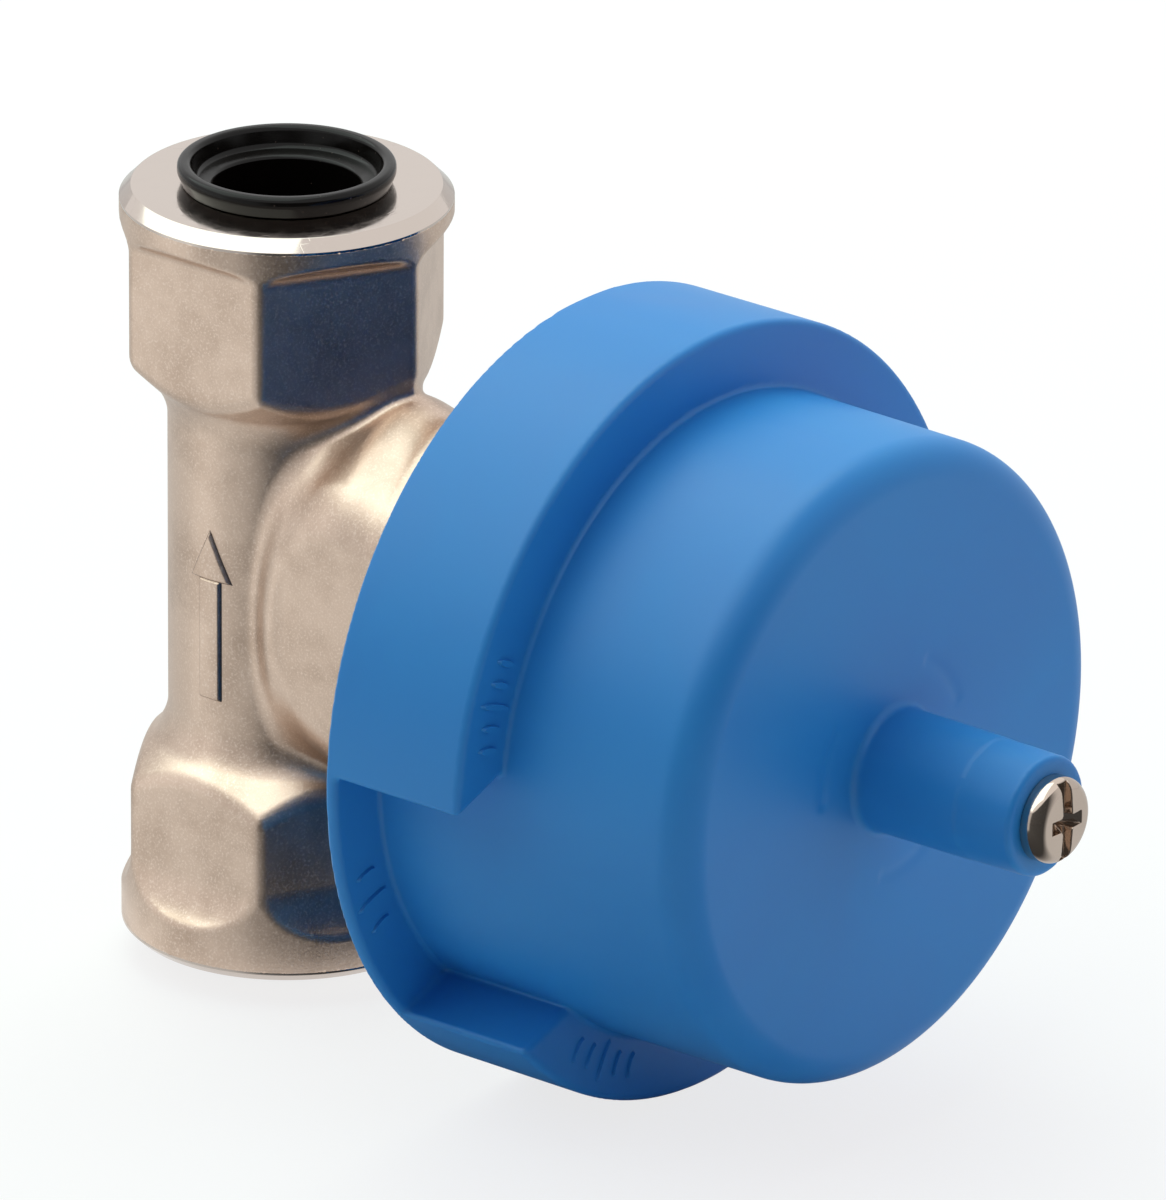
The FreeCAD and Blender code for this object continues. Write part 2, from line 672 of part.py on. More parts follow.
def make_guard():
    """Moulded plaster guard: an open-backed shell with a cup, a depth flange and a hollow post."""
    body = new_body("plaster_guard")
    revolve(body, "flange", [
        ("0", "guard_back"), ("flange_radius", "guard_back"),
        ("flange_radius", "guard_max"), ("0", "guard_max"),
    ])
    fillet(body, "flange_rounding", rims(body, of("flange_radius"), of("guard_max")), "edge_rounding")
    notch = turned_about_z(new_sketch(body, "notch_outline", "XY_Plane", z="guard_min"), "notch_angle")
    polygon(notch, [
        ("0", "-notch_width / 2"), ("flange_radius + 2", "-notch_width / 2"),
        ("flange_radius + 2", "notch_width / 2"), ("0", "notch_width / 2"),
    ])
    extrude(body, "notch", notch, "guard_max - guard_min + 1", "Pocket", back=True)
    revolve(body, "cup", [
        ("0", "guard_back"), ("cup_radius", "guard_back"),
        ("cup_front_radius", "guard_face"), ("0", "guard_face"),
    ])
    fillet(body, "cup_rounding", rims(body, of("cup_front_radius"), of("guard_face")), "cup_fillet")
    revolve(body, "post", [
        ("0", "guard_face - 1"), ("post_radius + post_root", "guard_face - 1"),
        ("post_radius + post_root", "guard_face"), ("post_radius", "guard_face + post_root"),
        ("post_tip_radius", "post_end - post_chamfer"), ("post_tip_radius - post_chamfer", "post_end"),
        ("0", "post_end"),
    ])
    inside = "(cup_radius - guard_wall)"
    inside_front = "(cup_front_radius - guard_wall)"
    ceiling = "(guard_face - face_wall)"
    revolve(body, "cavity", [
        ("0", "guard_back - 1"), (inside, "guard_back - 1"),
        (inside_front, f"{ceiling} - cup_fillet + guard_wall"),
        (f"{inside_front} - cavity_rounding", f"{ceiling} - cavity_rounding"),
        (f"{inside_front} - cup_fillet + guard_wall", ceiling),
        ("sleeve_radius", ceiling), ("sleeve_radius", "sleeve_back"), ("0", "sleeve_back"),
    ], "Groove")
    channel = new_sketch(body, "channel_outline", "XY_Plane", z="guard_back - 1")
    turned_about_z(channel, "notch_angle")
    ring_sector(channel, "cup_radius", "flange_radius - guard_wall", "notch_width / 2 + guard_wall")
    extrude(body, "channel", channel, "guard_max - guard_wall - guard_back + 1", "Pocket", back=True)
    rib = polygon(new_sketch(body, "rib_outline", "XZ_Plane"), [
        ("sleeve_radius - rib_overlap", ceiling + " + rib_root"),
        ("sleeve_radius + rib_length", ceiling + " + rib_root"),
        ("sleeve_radius + rib_length", ceiling + " - rib_end_height"),
        ("sleeve_radius - rib_overlap", ceiling + " - rib_length"),
    ])
    rib_pad = extrude(body, "rib", rib, "rib_thickness", both=True)
    around(body, "ribs", [rib_pad], int(of("rib_count")))
    leg = polygon(new_sketch(body, "leg_outline", "XZ_Plane"), [
        ("leg_radius", ceiling + " + rib_root"), ("leg_radius + guard_wall", ceiling + " + rib_root"),
        ("leg_radius + guard_wall - leg_draft", ceiling + " - leg_length"),
        ("leg_radius + leg_draft", ceiling + " - leg_length"),
    ])
    leg.AttachmentOffset = turned(FreeCAD.Vector(0, 1, 0), of("leg_start"))
    leg_turn = body.newObject("PartDesign::Revolution", "leg")
    leg_turn.Profile = leg
    leg_turn.ReferenceAxis = (leg, ["V_Axis"])
    leg_turn.Midplane = True
    bind(leg_turn, Angle="leg_angle")
    around(body, "legs", [leg_turn], 3)
    revolve(body, "post_bore", [
        ("0", "sleeve_back - 1"), ("rod_radius + post_bore_clearance", "sleeve_back - 1"),
        ("rod_radius + post_bore_clearance", ROD_END), ("screw_radius + screw_hole_gap", ROD_END),
        ("screw_radius + screw_hole_gap", "post_end + 1"), ("0", "post_end + 1"),
    ], "Groove")
    lay_along_headwork(body)
    return body


def make_guard_screw():
    body = new_body("guard_screw")
    revolve(body, "screw", [
        ("0", "post_end - screw_length"), ("screw_radius - screw_point", "post_end - screw_length"),
        ("screw_radius", "post_end - screw_length + screw_point"), ("screw_radius", "post_end"),
        ("head_radius", "post_end"), ("head_radius", "post_end + head_height"),
        ("0", "post_end + head_height"),
    ])
    fillet(body, "dome", rims(body, of("head_radius"), of("post_end") + of("head_height")),
           "head_height - head_side")
    lay_along_headwork(body)
    return body


def check_and_write(bodies):
    DOC.recompute()
    faults = [item.Name for item in DOC.Objects if "Invalid" in item.State or "Error" in item.State]
    if faults:
        raise RuntimeError("failed: " + ", ".join(faults))
    os.makedirs("parts", exist_ok=True)
    for body in bodies:
        shape = body.Shape
        if shape.isNull() or not shape.isValid():
            raise RuntimeError("bad shape: " + body.Label)
        shape.exportStep(os.path.join("parts", body.Label + ".step"))
        print(body.Label, "solids", len(shape.Solids), "volume", round(shape.Volume, 1))


def make_headwork():
    disc_outer = "cage_bore_radius - disc_clearance"
    return [
        washer("seat_seal", "seal_bore_radius", disc_outer, "seat_reach", SEAL_TOP),
        washer("seal_support_ring", "seal_bore_radius - support_overlap", disc_outer,
               SEAL_TOP, SUPPORT_TOP),
        disc("fixed_disc", SUPPORT_TOP, FIXED_TOP, 90),
        make_turning_disc(),
        make_spindle(),
        ring("spindle_o_ring_lower", f"{RING_GROOVE} + o_ring_root_gap + o_ring_section / 2",
             f"o_ring_first + {RING_WIDTH} / 2", "o_ring_section"),
        ring("spindle_o_ring_upper", f"{RING_GROOVE} + o_ring_root_gap + o_ring_section / 2",
             f"o_ring_first + o_ring_pitch + {RING_WIDTH} / 2", "o_ring_section"),
        washer("slide_ring", "spindle_radius + slide_bore_gap", "shoulder_radius",
               SHOULDER_TOP, f"({SHOULDER_TOP} + slide_ring)"),
        make_circlip(),
        make_bonnet(),
        ring("bonnet_o_ring", f"{THREAD_RADIUS} + mouth_ring_gap + mouth_ring_section / 2",
             "boss_reach - mouth_groove_depth / 2", "mouth_ring_section"),
        make_extension(),
        make_grub_screw(),
    ]


check_and_write([make_valve_body(), make_outlet_plug(), *make_headwork(), make_guard(), make_guard_screw()])
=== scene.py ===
import json
import math

import bmesh
import bpy
import numpy as np
from mathutils import Matrix, Vector


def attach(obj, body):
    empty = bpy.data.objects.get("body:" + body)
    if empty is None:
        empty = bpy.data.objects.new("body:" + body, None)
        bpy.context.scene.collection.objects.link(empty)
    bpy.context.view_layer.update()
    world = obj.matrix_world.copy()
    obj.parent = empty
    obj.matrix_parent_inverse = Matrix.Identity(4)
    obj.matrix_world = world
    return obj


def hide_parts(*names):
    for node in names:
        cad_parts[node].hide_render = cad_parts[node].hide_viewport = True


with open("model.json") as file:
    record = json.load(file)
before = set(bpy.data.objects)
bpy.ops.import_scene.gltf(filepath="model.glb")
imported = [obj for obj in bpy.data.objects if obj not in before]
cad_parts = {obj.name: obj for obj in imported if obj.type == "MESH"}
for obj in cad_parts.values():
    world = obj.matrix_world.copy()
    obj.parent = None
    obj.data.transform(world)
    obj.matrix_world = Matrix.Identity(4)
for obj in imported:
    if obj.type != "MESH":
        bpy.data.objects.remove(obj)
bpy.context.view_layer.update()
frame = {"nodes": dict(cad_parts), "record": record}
print("frame loaded")

axisHeight = 41.0  # mm, the headwork's axis above the inlet face
mm = 0.001


# Fields: negative inside a solid, in millimetres


def roundIn(a, b, radius):
    # both solids at once, with the edge between them rounded
    inner = np.minimum(-radius, np.maximum(a, b))
    return inner + np.hypot(np.maximum(a + radius, 0), np.maximum(b + radius, 0))


def roundOut(a, b, radius):
    # either solid, with the corner between them filled to that radius
    outer = np.maximum(radius, np.minimum(a, b))
    return outer - np.hypot(np.maximum(radius - a, 0), np.maximum(radius - b, 0))


def ramp(value, low, high):
    # smooth step from 0 to 1
    t = np.clip((value - low) / (high - low), 0, 1)
    return t * t * (3 - 2 * t)


def slopeOf(field, points, reach=0.02):
    # gradient of a field by central differences
    slope = np.empty_like(points)
    for axis in range(3):
        step = np.zeros(3)
        step[axis] = reach
        slope[:, axis] = (field(*(points + step).T) - field(*(points - step).T)) / (2 * reach)
    return slope


# How a field becomes a mesh: layers worked out at once, cells left round the box, passes that set the points
# on the surface, the largest move of a pass as a share of the step, the least squared slope, and the reach in
# mm of the slope that gives the normals
skinning = {"layers": 12, "margin": 2.5, "passes": 4, "stride": 0.25, "leastSlope": 0.05, "normalReach": 0.06}


def netOf(field, low, high, step):
    # one point in each cell that the surface crosses, joined across each crossed edge
    margin = skinning["margin"] * step
    axes = [np.arange(low[i] - margin, high[i] + margin, step) for i in range(3)]
    values = np.empty([len(a) for a in axes], dtype=np.float32)
    layers = skinning["layers"]
    for first in range(0, len(axes[0]), layers):
        grid = np.meshgrid(axes[0][first:first + layers], axes[1], axes[2], indexing="ij")
        values[first:first + layers] = field(*grid)
    inside = values < 0
    cells = tuple(n - 1 for n in inside.shape)
    corners = [(a, b, c) for a in (0, 1) for b in (0, 1) for c in (0, 1)]
    count = sum(inside[a:a + cells[0], b:b + cells[1], c:c + cells[2]].astype(np.int8)
                for a, b, c in corners)
    crossed = np.stack(np.nonzero((count > 0) & (count < 8)), axis=1)
    number = np.full(cells, -1, dtype=np.int64)
    number[tuple(crossed.T)] = np.arange(len(crossed))
    total = np.zeros((len(crossed), 3))
    hits = np.zeros(len(crossed))
    for start in corners:
        for axis in range(3):
            if start[axis]:
                continue
            near = crossed + start
            far = near.copy()
            far[:, axis] += 1
            a = values[tuple(near.T)]
            b = values[tuple(far.T)]
            change = (a < 0) != (b < 0)
            share = np.where(change, a / np.where(change, a - b, 1), 0)
            place = near.astype(float)
            place[:, axis] += share
            total[change] += place[change]
            hits[change] += 1
    origin = np.array([a[0] for a in axes])
    points = origin + total / hits[:, None] * step
    quads = []
    for axis in range(3):
        u, v = (axis + 1) % 3, (axis + 2) % 3
        near = [slice(None)] * 3
        far = [slice(None)] * 3
        near[axis] = slice(0, -1)
        far[axis] = slice(1, None)
        edge = np.stack(np.nonzero(inside[tuple(near)] != inside[tuple(far)]), axis=1)
        around = []
        for du, dv in ((0, 0), (-1, 0), (-1, -1), (0, -1)):
            cell = edge.copy()
            cell[:, u] += du
            cell[:, v] += dv
            around.append(number[tuple(cell.T)])
        quad = np.stack(around, axis=1)
        inner = inside[tuple(edge.T)]
        quad[~inner] = quad[~inner][:, ::-1]
        quads.append(quad)
    return points, np.concatenate(quads)


def applied(piece):
    # the piece with its modifiers made real
    solid = bpy.data.meshes.new_from_object(piece.evaluated_get(bpy.context.evaluated_depsgraph_get()))
    solid.name = piece.name
    piece.modifiers.clear()
    piece.data = solid
    return piece


def added(name, mesh):
    piece = bpy.data.objects.new(name, mesh)
    bpy.context.scene.collection.objects.link(piece)
    return piece


def skinned(name, field, size):
    # mesh of a field, with fewer faces where it is flat and its points set on the surface
    step = size["step"]
    points, quads = netOf(field, size["boxLow"], size["boxHigh"], step)
    mesh = bpy.data.meshes.new(name)
    mesh.from_pydata((points * mm).tolist(), [], quads.tolist())
    piece = added(name, mesh)
    fewer = piece.modifiers.new("fewerFaces", "DECIMATE")
    fewer.ratio = size["keep"]
    applied(piece)
    mesh = piece.data
    flat = np.empty(len(mesh.vertices) * 3)
    mesh.vertices.foreach_get("co", flat)
    points = flat.reshape(-1, 3) / mm
    for _ in range(skinning["passes"]):
        slope = slopeOf(field, points)
        squared = np.maximum((slope ** 2).sum(axis=1), skinning["leastSlope"])
        move = -(field(*points.T) / squared)[:, None] * slope
        far = np.linalg.norm(move, axis=1, keepdims=True)
        points = points + move * np.minimum(1, skinning["stride"] * step / np.maximum(far, 1e-9))
    mesh.vertices.foreach_set("co", (points * mm).ravel())
    slope = slopeOf(field, points, skinning["normalReach"])
    mesh.normals_split_custom_set_from_vertices(slope / np.linalg.norm(slope, axis=1, keepdims=True))
    mesh.update()
    print(name, "faces", len(mesh.polygons))
    return piece


# Turned pieces

sharpAngle = 32.0  # degrees between faces, from which their edge stays sharp
weld = 1e-7  # m, points closer than that become one


def rounded(corners, steps=6):
    # outline (radius, height, rounding) with arcs at its corners
    line = []
    for i, (x, y, radius) in enumerate(corners):
        here = Vector((x, y))
        if radius == 0:
            line.append(here)
            continue
        before = (Vector(corners[i - 1][:2]) - here).normalized()
        after = (Vector(corners[(i + 1) % len(corners)][:2]) - here).normalized()
        half = before.angle(after) / 2
        middle = here + (before + after).normalized() * (radius / math.sin(half))
        start = here + before * (radius / math.tan(half)) - middle
        sweep = start.angle_signed(here + after * (radius / math.tan(half)) - middle)
        for k in range(steps + 1):
            turn = Matrix.Rotation(-sweep * k / steps, 2)
            line.append(middle + turn @ start)
    return line


def lathed(name, outlines, segments=160, along="Z"):
    # closed outlines turned about Z, or about the headwork's axis
    build = bmesh.new()
    for line in outlines:
        rings = []
        for radius, height in line:
            ring = []
            for k in range(segments):
                angle = 2 * math.pi * k / segments
                place = Vector((radius * math.cos(angle), radius * math.sin(angle), height))
                if along == "headwork":
                    place = Vector((place.x, -place.z, place.y + axisHeight))
                ring.append(build.verts.new(place * mm))
            rings.append(ring)
        for i, ring in enumerate(rings):
            other = rings[(i + 1) % len(rings)]
            for k in range(segments):
                build.faces.new((ring[k - 1], ring[k], other[k], other[k - 1]))
    bmesh.ops.remove_doubles(build, verts=build.verts, dist=weld)
    bmesh.ops.recalc_face_normals(build, faces=build.faces)
    mesh = bpy.data.meshes.new(name)
    build.to_mesh(mesh)
    build.free()
    mesh.polygons.foreach_set("use_smooth", [True] * len(mesh.polygons))
    mesh.set_sharp_from_angle(angle=math.radians(sharpAngle))
    return added(name, mesh)


# Geometry Nodes


def newTree(name, sizes):
    tree = bpy.data.node_groups.new(name, "GeometryNodeTree")
    for label, value in sizes.items():
        kind = "NodeSocketInt" if isinstance(value, int) else "NodeSocketFloat"
        tree.interface.new_socket(label, in_out="INPUT", socket_type=kind)
    tree.interface.new_socket("Geometry", in_out="OUTPUT", socket_type="NodeSocketGeometry")
    return tree, tree.nodes.new("NodeGroupInput").outputs


def closeTree(tree, geometry, material):
    real = addNode(tree, "GeometryNodeRealizeInstances", inputs={"Geometry": geometry})
    dressed = addNode(tree, "GeometryNodeSetMaterial", inputs={
        "Geometry": real.outputs[0], "Material": material})
    addNode(tree, "NodeGroupOutput", inputs={"Geometry": dressed.outputs[0]})


def grown(name, tree, *rows):
    # one plain mesh from the tree, with a run of it for each row of sizes
    build = bmesh.new()
    for sizes in rows:
        piece = added(name, bpy.data.meshes.new(name))
        grow = piece.modifiers.new("grow", "NODES")
        grow.node_group = tree
        for item in tree.interface.items_tree:
            if item.in_out == "INPUT":
                grow[item.identifier] = sizes[item.name]
        applied(piece)
        build.from_mesh(piece.data)
        bpy.data.objects.remove(piece)
    bmesh.ops.remove_doubles(build, verts=build.verts, dist=weld)
    bmesh.ops.recalc_face_normals(build, faces=build.faces)
    mesh = bpy.data.meshes.new(name)
    build.to_mesh(mesh)
    build.free()
    print(name, "faces", len(mesh.polygons))
    return added(name, mesh)


# Materials


def linear(code):
    # sRGB hex to linear RGBA
    parts = [int(code[i:i + 2], 16) / 255 for i in (1, 3, 5)]
    return [c / 12.92 if c <= 0.04045 else ((c + 0.055) / 1.055) ** 2.4 for c in parts] + [1]


def addNode(tree, kind, settings=None, inputs=None):
    made = tree.nodes.new(kind)
    for name, value in (settings or {}).items():
        setattr(made, name, value)
    for socket, value in (inputs or {}).items():
        if isinstance(value, bpy.types.NodeSocket):
            tree.links.new(value, made.inputs[socket])
        else:
            made.inputs[socket].default_value = value
    return made


def freshMaterial(name):
    made = bpy.data.materials.new(name)
    made.use_nodes = True
    made.node_tree.nodes.clear()
    return made, made.node_tree


def perMm(size):
    # texture scale for a feature of that size in millimetres
    return 1000 / size


# Nickel-plated forged brass, shot blasted before plating: a warm grey with a fine grain, and lighter specks
# painted in as glints
blastedNickel = {
    # the fourth colour is painted shade for the crease round the foot of the cast arrow
    "colour": "#D9C2B0", "glintColour": "#F2E0D2", "stain": "#AE9684", "creaseShade": "#3A3029", "roughness": 0.33,
    "paintedGlint": 0.75, "stained": 0.6,
    # sizes and depths in mm
    "grit": 0.27, "gritBump": 0.24, "gritDepth": 0.07, "pit": 1.6, "pitBump": 0.09, "pitDepth": 0.12,
    "stainSize": 7.0,
}


def makeBlastedNickel():
    values = blastedNickel
    made, tree = freshMaterial("blastedNickelPlate")
    place = addNode(tree, "ShaderNodeTexCoord").outputs["Object"]
    grain = addNode(tree, "ShaderNodeTexNoise", inputs={
        "Vector": place, "Scale": perMm(values["grit"]), "Detail": 3.0, "Roughness": 0.6})
    pits = addNode(tree, "ShaderNodeTexNoise", inputs={
        "Vector": place, "Scale": perMm(values["pit"]), "Detail": 2.0, "Roughness": 0.5})
    cloud = addNode(tree, "ShaderNodeTexNoise", inputs={
        "Vector": place, "Scale": perMm(values["stainSize"]), "Detail": 4.0, "Roughness": 0.6})
    share = addNode(tree, "ShaderNodeMapRange", inputs={
        "Value": cloud.outputs["Fac"], "From Min": 0.42, "From Max": 0.72, "To Min": 0.0,
        "To Max": values["stained"]})
    stained = addNode(tree, "ShaderNodeMix", {"data_type": "RGBA"}, {
        "Factor": share.outputs["Result"], 6: linear(values["colour"]), 7: linear(values["stain"])})
    # painted glints: lighter specks mixed into the colour where the fine grain noise is high
    glintMask = addNode(tree, "ShaderNodeMapRange", inputs={
        "Value": grain.outputs["Fac"], "From Min": 0.5, "From Max": 0.74, "To Min": 0.0,
        "To Max": values["paintedGlint"]})
    glinted = addNode(tree, "ShaderNodeMix", {"data_type": "RGBA"}, {
        "Factor": glintMask.outputs["Result"], 6: stained.outputs[2], 7: linear(values["glintColour"])})
    # painted shade: darker colour along the crease at the arrow's foot, read from a point attribute set on the
    # arrow
    creaseShadeMask = addNode(tree, "ShaderNodeAttribute", {"attribute_name": "creaseShade"})
    colour = addNode(tree, "ShaderNodeMix", {"data_type": "RGBA"}, {
        "Factor": creaseShadeMask.outputs["Fac"], 6: glinted.outputs[2], 7: linear(values["creaseShade"])})
    matt = addNode(tree, "ShaderNodeMapRange", inputs={
        "Value": grain.outputs["Fac"], "From Min": 0.3, "From Max": 0.7,
        "To Min": values["roughness"] - 0.05, "To Max": values["roughness"] + 0.08})
    low = addNode(tree, "ShaderNodeBump", inputs={
        "Strength": values["pitBump"], "Distance": values["pitDepth"] * mm, "Height": pits.outputs["Fac"]})
    fine = addNode(tree, "ShaderNodeBump", inputs={
        "Strength": values["gritBump"], "Distance": values["gritDepth"] * mm, "Height": grain.outputs["Fac"],
        "Normal": low.outputs["Normal"]})
    shader = addNode(tree, "ShaderNodeBsdfPrincipled", inputs={
        "Base Color": colour.outputs[2], "Metallic": 1.0, "Roughness": matt.outputs["Result"],
        "Normal": fine.outputs["Normal"]})
    addNode(tree, "ShaderNodeOutputMaterial", inputs={"Surface": shader.outputs["BSDF"]})
    return made


# The same plate on faces turned in a lathe: near mirror, with fine rings and a few nicks
turnedNickel = {
    "colour": "#CFC3BA", "roughness": 0.09,
    # sizes and depths in mm
    "ring": 0.12, "ringBump": 0.12, "ringDepth": 0.01, "nick": 3.4, "nickBump": 0.1, "nickDepth": 0.04,
    "haze": 2.2,
}


def makeTurnedNickel():
    values = turnedNickel
    made, tree = freshMaterial("turnedNickelPlate")
    place = addNode(tree, "ShaderNodeTexCoord").outputs["Object"]
    rings = addNode(tree, "ShaderNodeTexWave", {
        "wave_type": "RINGS", "rings_direction": "Z", "wave_profile": "SAW"}, {
        "Vector": place, "Scale": perMm(values["ring"]) / 6.28, "Distortion": 0.4, "Detail": 1.0,
        "Detail Scale": 2.0})
    nicks = addNode(tree, "ShaderNodeTexVoronoi", {"feature": "DISTANCE_TO_EDGE"}, {
        "Vector": place, "Scale": perMm(values["nick"]), "Randomness": 1.0})
    cut = addNode(tree, "ShaderNodeMapRange", inputs={
        "Value": nicks.outputs["Distance"], "From Min": 0.0, "From Max": 0.012, "To Min": 0.0, "To Max": 1.0})
    haze = addNode(tree, "ShaderNodeTexNoise", inputs={
        "Vector": place, "Scale": perMm(values["haze"]), "Detail": 4.0})
    matt = addNode(tree, "ShaderNodeMapRange", inputs={
        "Value": haze.outputs["Fac"], "From Min": 0.35, "From Max": 0.7,
        "To Min": values["roughness"] - 0.03, "To Max": values["roughness"] + 0.09})
    fine = addNode(tree, "ShaderNodeBump", inputs={
        "Strength": values["ringBump"], "Distance": values["ringDepth"] * mm, "Height": rings.outputs["Fac"]})
    nicked = addNode(tree, "ShaderNodeBump", inputs={
        "Strength": values["nickBump"], "Distance": values["nickDepth"] * mm, "Height": cut.outputs["Result"],
        "Normal": fine.outputs["Normal"]})
    shader = addNode(tree, "ShaderNodeBsdfPrincipled", inputs={
        "Base Color": linear(values["colour"]), "Metallic": 1.0, "Roughness": matt.outputs["Result"],
        "Normal": nicked.outputs["Normal"]})
    addNode(tree, "ShaderNodeOutputMaterial", inputs={"Surface": shader.outputs["BSDF"]})
    return made


# Injection-moulded polypropylene with a blue masterbatch: satin, a little light passes into it
bluePlastic = {
    "colour": "#2685D1", "pale": "#2F92DA", "roughness": 0.42,
    # sizes and depths in mm
    "skin": 0.55, "skinBump": 0.1, "skinDepth": 0.04, "flow": 26.0, "lightDepth": 1.5,
}


def makeBluePlastic():
    values = bluePlastic
    made, tree = freshMaterial("satinBluePolypropylene")
    place = addNode(tree, "ShaderNodeTexCoord").outputs["Object"]
    skin = addNode(tree, "ShaderNodeTexNoise", inputs={
        "Vector": place, "Scale": perMm(values["skin"]), "Detail": 3.0, "Roughness": 0.55})
    flow = addNode(tree, "ShaderNodeTexNoise", inputs={
        "Vector": place, "Scale": perMm(values["flow"]), "Detail": 2.0, "Roughness": 0.5, "Distortion": 0.8})
    share = addNode(tree, "ShaderNodeMapRange", inputs={
        "Value": flow.outputs["Fac"], "From Min": 0.3, "From Max": 0.7, "To Min": 0.0, "To Max": 0.5})
    colour = addNode(tree, "ShaderNodeMix", {"data_type": "RGBA"}, {
        "Factor": share.outputs["Result"], 6: linear(values["colour"]), 7: linear(values["pale"])})
    matt = addNode(tree, "ShaderNodeMapRange", inputs={
        "Value": flow.outputs["Fac"], "From Min": 0.3, "From Max": 0.7,
        "To Min": values["roughness"] - 0.04, "To Max": values["roughness"] + 0.05})
    fine = addNode(tree, "ShaderNodeBump", inputs={
        "Strength": values["skinBump"], "Distance": values["skinDepth"] * mm, "Height": skin.outputs["Fac"]})
    shader = addNode(tree, "ShaderNodeBsdfPrincipled", {"subsurface_method": "RANDOM_WALK"}, {
        "Base Color": colour.outputs[2], "Roughness": matt.outputs["Result"], "IOR": 1.49,
        "Subsurface Weight": 0.15, "Subsurface Radius": (0.25, 0.6, 1.0),
        "Subsurface Scale": values["lightDepth"] * mm,
        "Normal": fine.outputs["Normal"]})
    addNode(tree, "ShaderNodeOutputMaterial", inputs={"Surface": shader.outputs["BSDF"]})
    return made


# Injection-moulded black polyethylene, glossy, with specks of dust
blackPlastic = {
    "colour": "#0D0A08", "dust": "#5C5046", "roughness": 0.14, "gloss": 0.21,
    # sizes and depths in mm
    "speck": 1.1, "wave": 2.5, "waveBump": 0.12, "waveDepth": 0.1,
}


def makeBlackPlastic():
    values = blackPlastic
    made, tree = freshMaterial("glossBlackPolyethylene")
    place = addNode(tree, "ShaderNodeTexCoord").outputs["Object"]
    specks = addNode(tree, "ShaderNodeTexVoronoi", inputs={
        "Vector": place, "Scale": perMm(values["speck"]), "Randomness": 1.0})
    dot = addNode(tree, "ShaderNodeMapRange", inputs={
        "Value": specks.outputs["Distance"], "From Min": 0.05, "From Max": 0.09, "To Min": 0.7, "To Max": 0.0})
    wave = addNode(tree, "ShaderNodeTexNoise", inputs={
        "Vector": place, "Scale": perMm(values["wave"]), "Detail": 3.0})
    colour = addNode(tree, "ShaderNodeMix", {"data_type": "RGBA"}, {
        "Factor": dot.outputs["Result"], 6: linear(values["colour"]), 7: linear(values["dust"])})
    matt = addNode(tree, "ShaderNodeMapRange", inputs={
        "Value": wave.outputs["Fac"], "From Min": 0.3, "From Max": 0.7,
        "To Min": values["roughness"] - 0.04, "To Max": values["roughness"] + 0.08})
    fine = addNode(tree, "ShaderNodeBump", inputs={
        "Strength": values["waveBump"], "Distance": values["waveDepth"] * mm, "Height": wave.outputs["Fac"]})
    shader = addNode(tree, "ShaderNodeBsdfPrincipled", inputs={
        "Base Color": colour.outputs[2], "Roughness": matt.outputs["Result"], "IOR": 1.51,
        "Specular IOR Level": values["gloss"], "Normal": fine.outputs["Normal"]})
    addNode(tree, "ShaderNodeOutputMaterial", inputs={"Surface": shader.outputs["BSDF"]})
    return made


# Finishes of the pieces that keep their own shape: colour, metallic, roughness, size of the marks in mm
plainFinishes = {
    "brass": ("turnedBrass", "#D8B66A", 1.0, 0.24, 0.3),
    "rubber": ("nitrileRubber", "#161616", 0.0, 0.55, 0.5),
    "ceramic": ("groundAlumina", "#ECE9E2", 0.0, 0.3, 0.8),
    "steel": ("stainlessSteel", "#B9B7B3", 1.0, 0.28, 0.3),
    "nickel_steel": ("polishedNickelSteel", "#DCCBBD", 1.0, 0.09, 0.9),
    "white_plastic": ("whiteAcetal", "#E8E6E0", 0.0, 0.4, 0.7),
}
plainMarks = {"cloud": 9.0, "deeper": 0.82, "bump": 0.05, "depth": 0.03}  # mm, share, strength, mm


def makePlainFinish(name, colour, metallic, roughness, mark):
    made, tree = freshMaterial(name)
    place = addNode(tree, "ShaderNodeTexCoord").outputs["Object"]
    marks = addNode(tree, "ShaderNodeTexNoise", inputs={"Vector": place, "Scale": perMm(mark), "Detail": 3.0})
    wide = addNode(tree, "ShaderNodeTexNoise", inputs={
        "Vector": place, "Scale": perMm(plainMarks["cloud"]), "Detail": 2.0})
    deeper = [c * plainMarks["deeper"] for c in linear(colour)[:3]] + [1]
    tone = addNode(tree, "ShaderNodeMix", {"data_type": "RGBA"}, {
        "Factor": wide.outputs["Fac"], 6: linear(colour), 7: deeper})
    matt = addNode(tree, "ShaderNodeMapRange", inputs={
        "Value": marks.outputs["Fac"], "From Min": 0.3, "From Max": 0.7,
        "To Min": roughness * 0.8, "To Max": roughness * 1.25})
    fine = addNode(tree, "ShaderNodeBump", inputs={
        "Strength": plainMarks["bump"], "Distance": plainMarks["depth"] * mm, "Height": marks.outputs["Fac"]})
    shader = addNode(tree, "ShaderNodeBsdfPrincipled", inputs={
        "Base Color": tone.outputs[2], "Metallic": metallic, "Roughness": matt.outputs["Result"],
        "Normal": fine.outputs["Normal"]})
    addNode(tree, "ShaderNodeOutputMaterial", inputs={"Surface": shader.outputs["BSDF"]})
    return made


castMetal = makeBlastedNickel()
turnedMetal = makeTurnedNickel()
blueGuard = makeBluePlastic()
blackPlug = makeBlackPlastic()
finishes = {slot: makePlainFinish(*values) for slot, values in plainFinishes.items()}
print("materials made")


def dress(piece, material, body, slot, *nodes):
    piece.data.materials.clear()
    piece.data.materials.append(material)
    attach(piece, body)
    if nodes:
        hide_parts(*nodes)


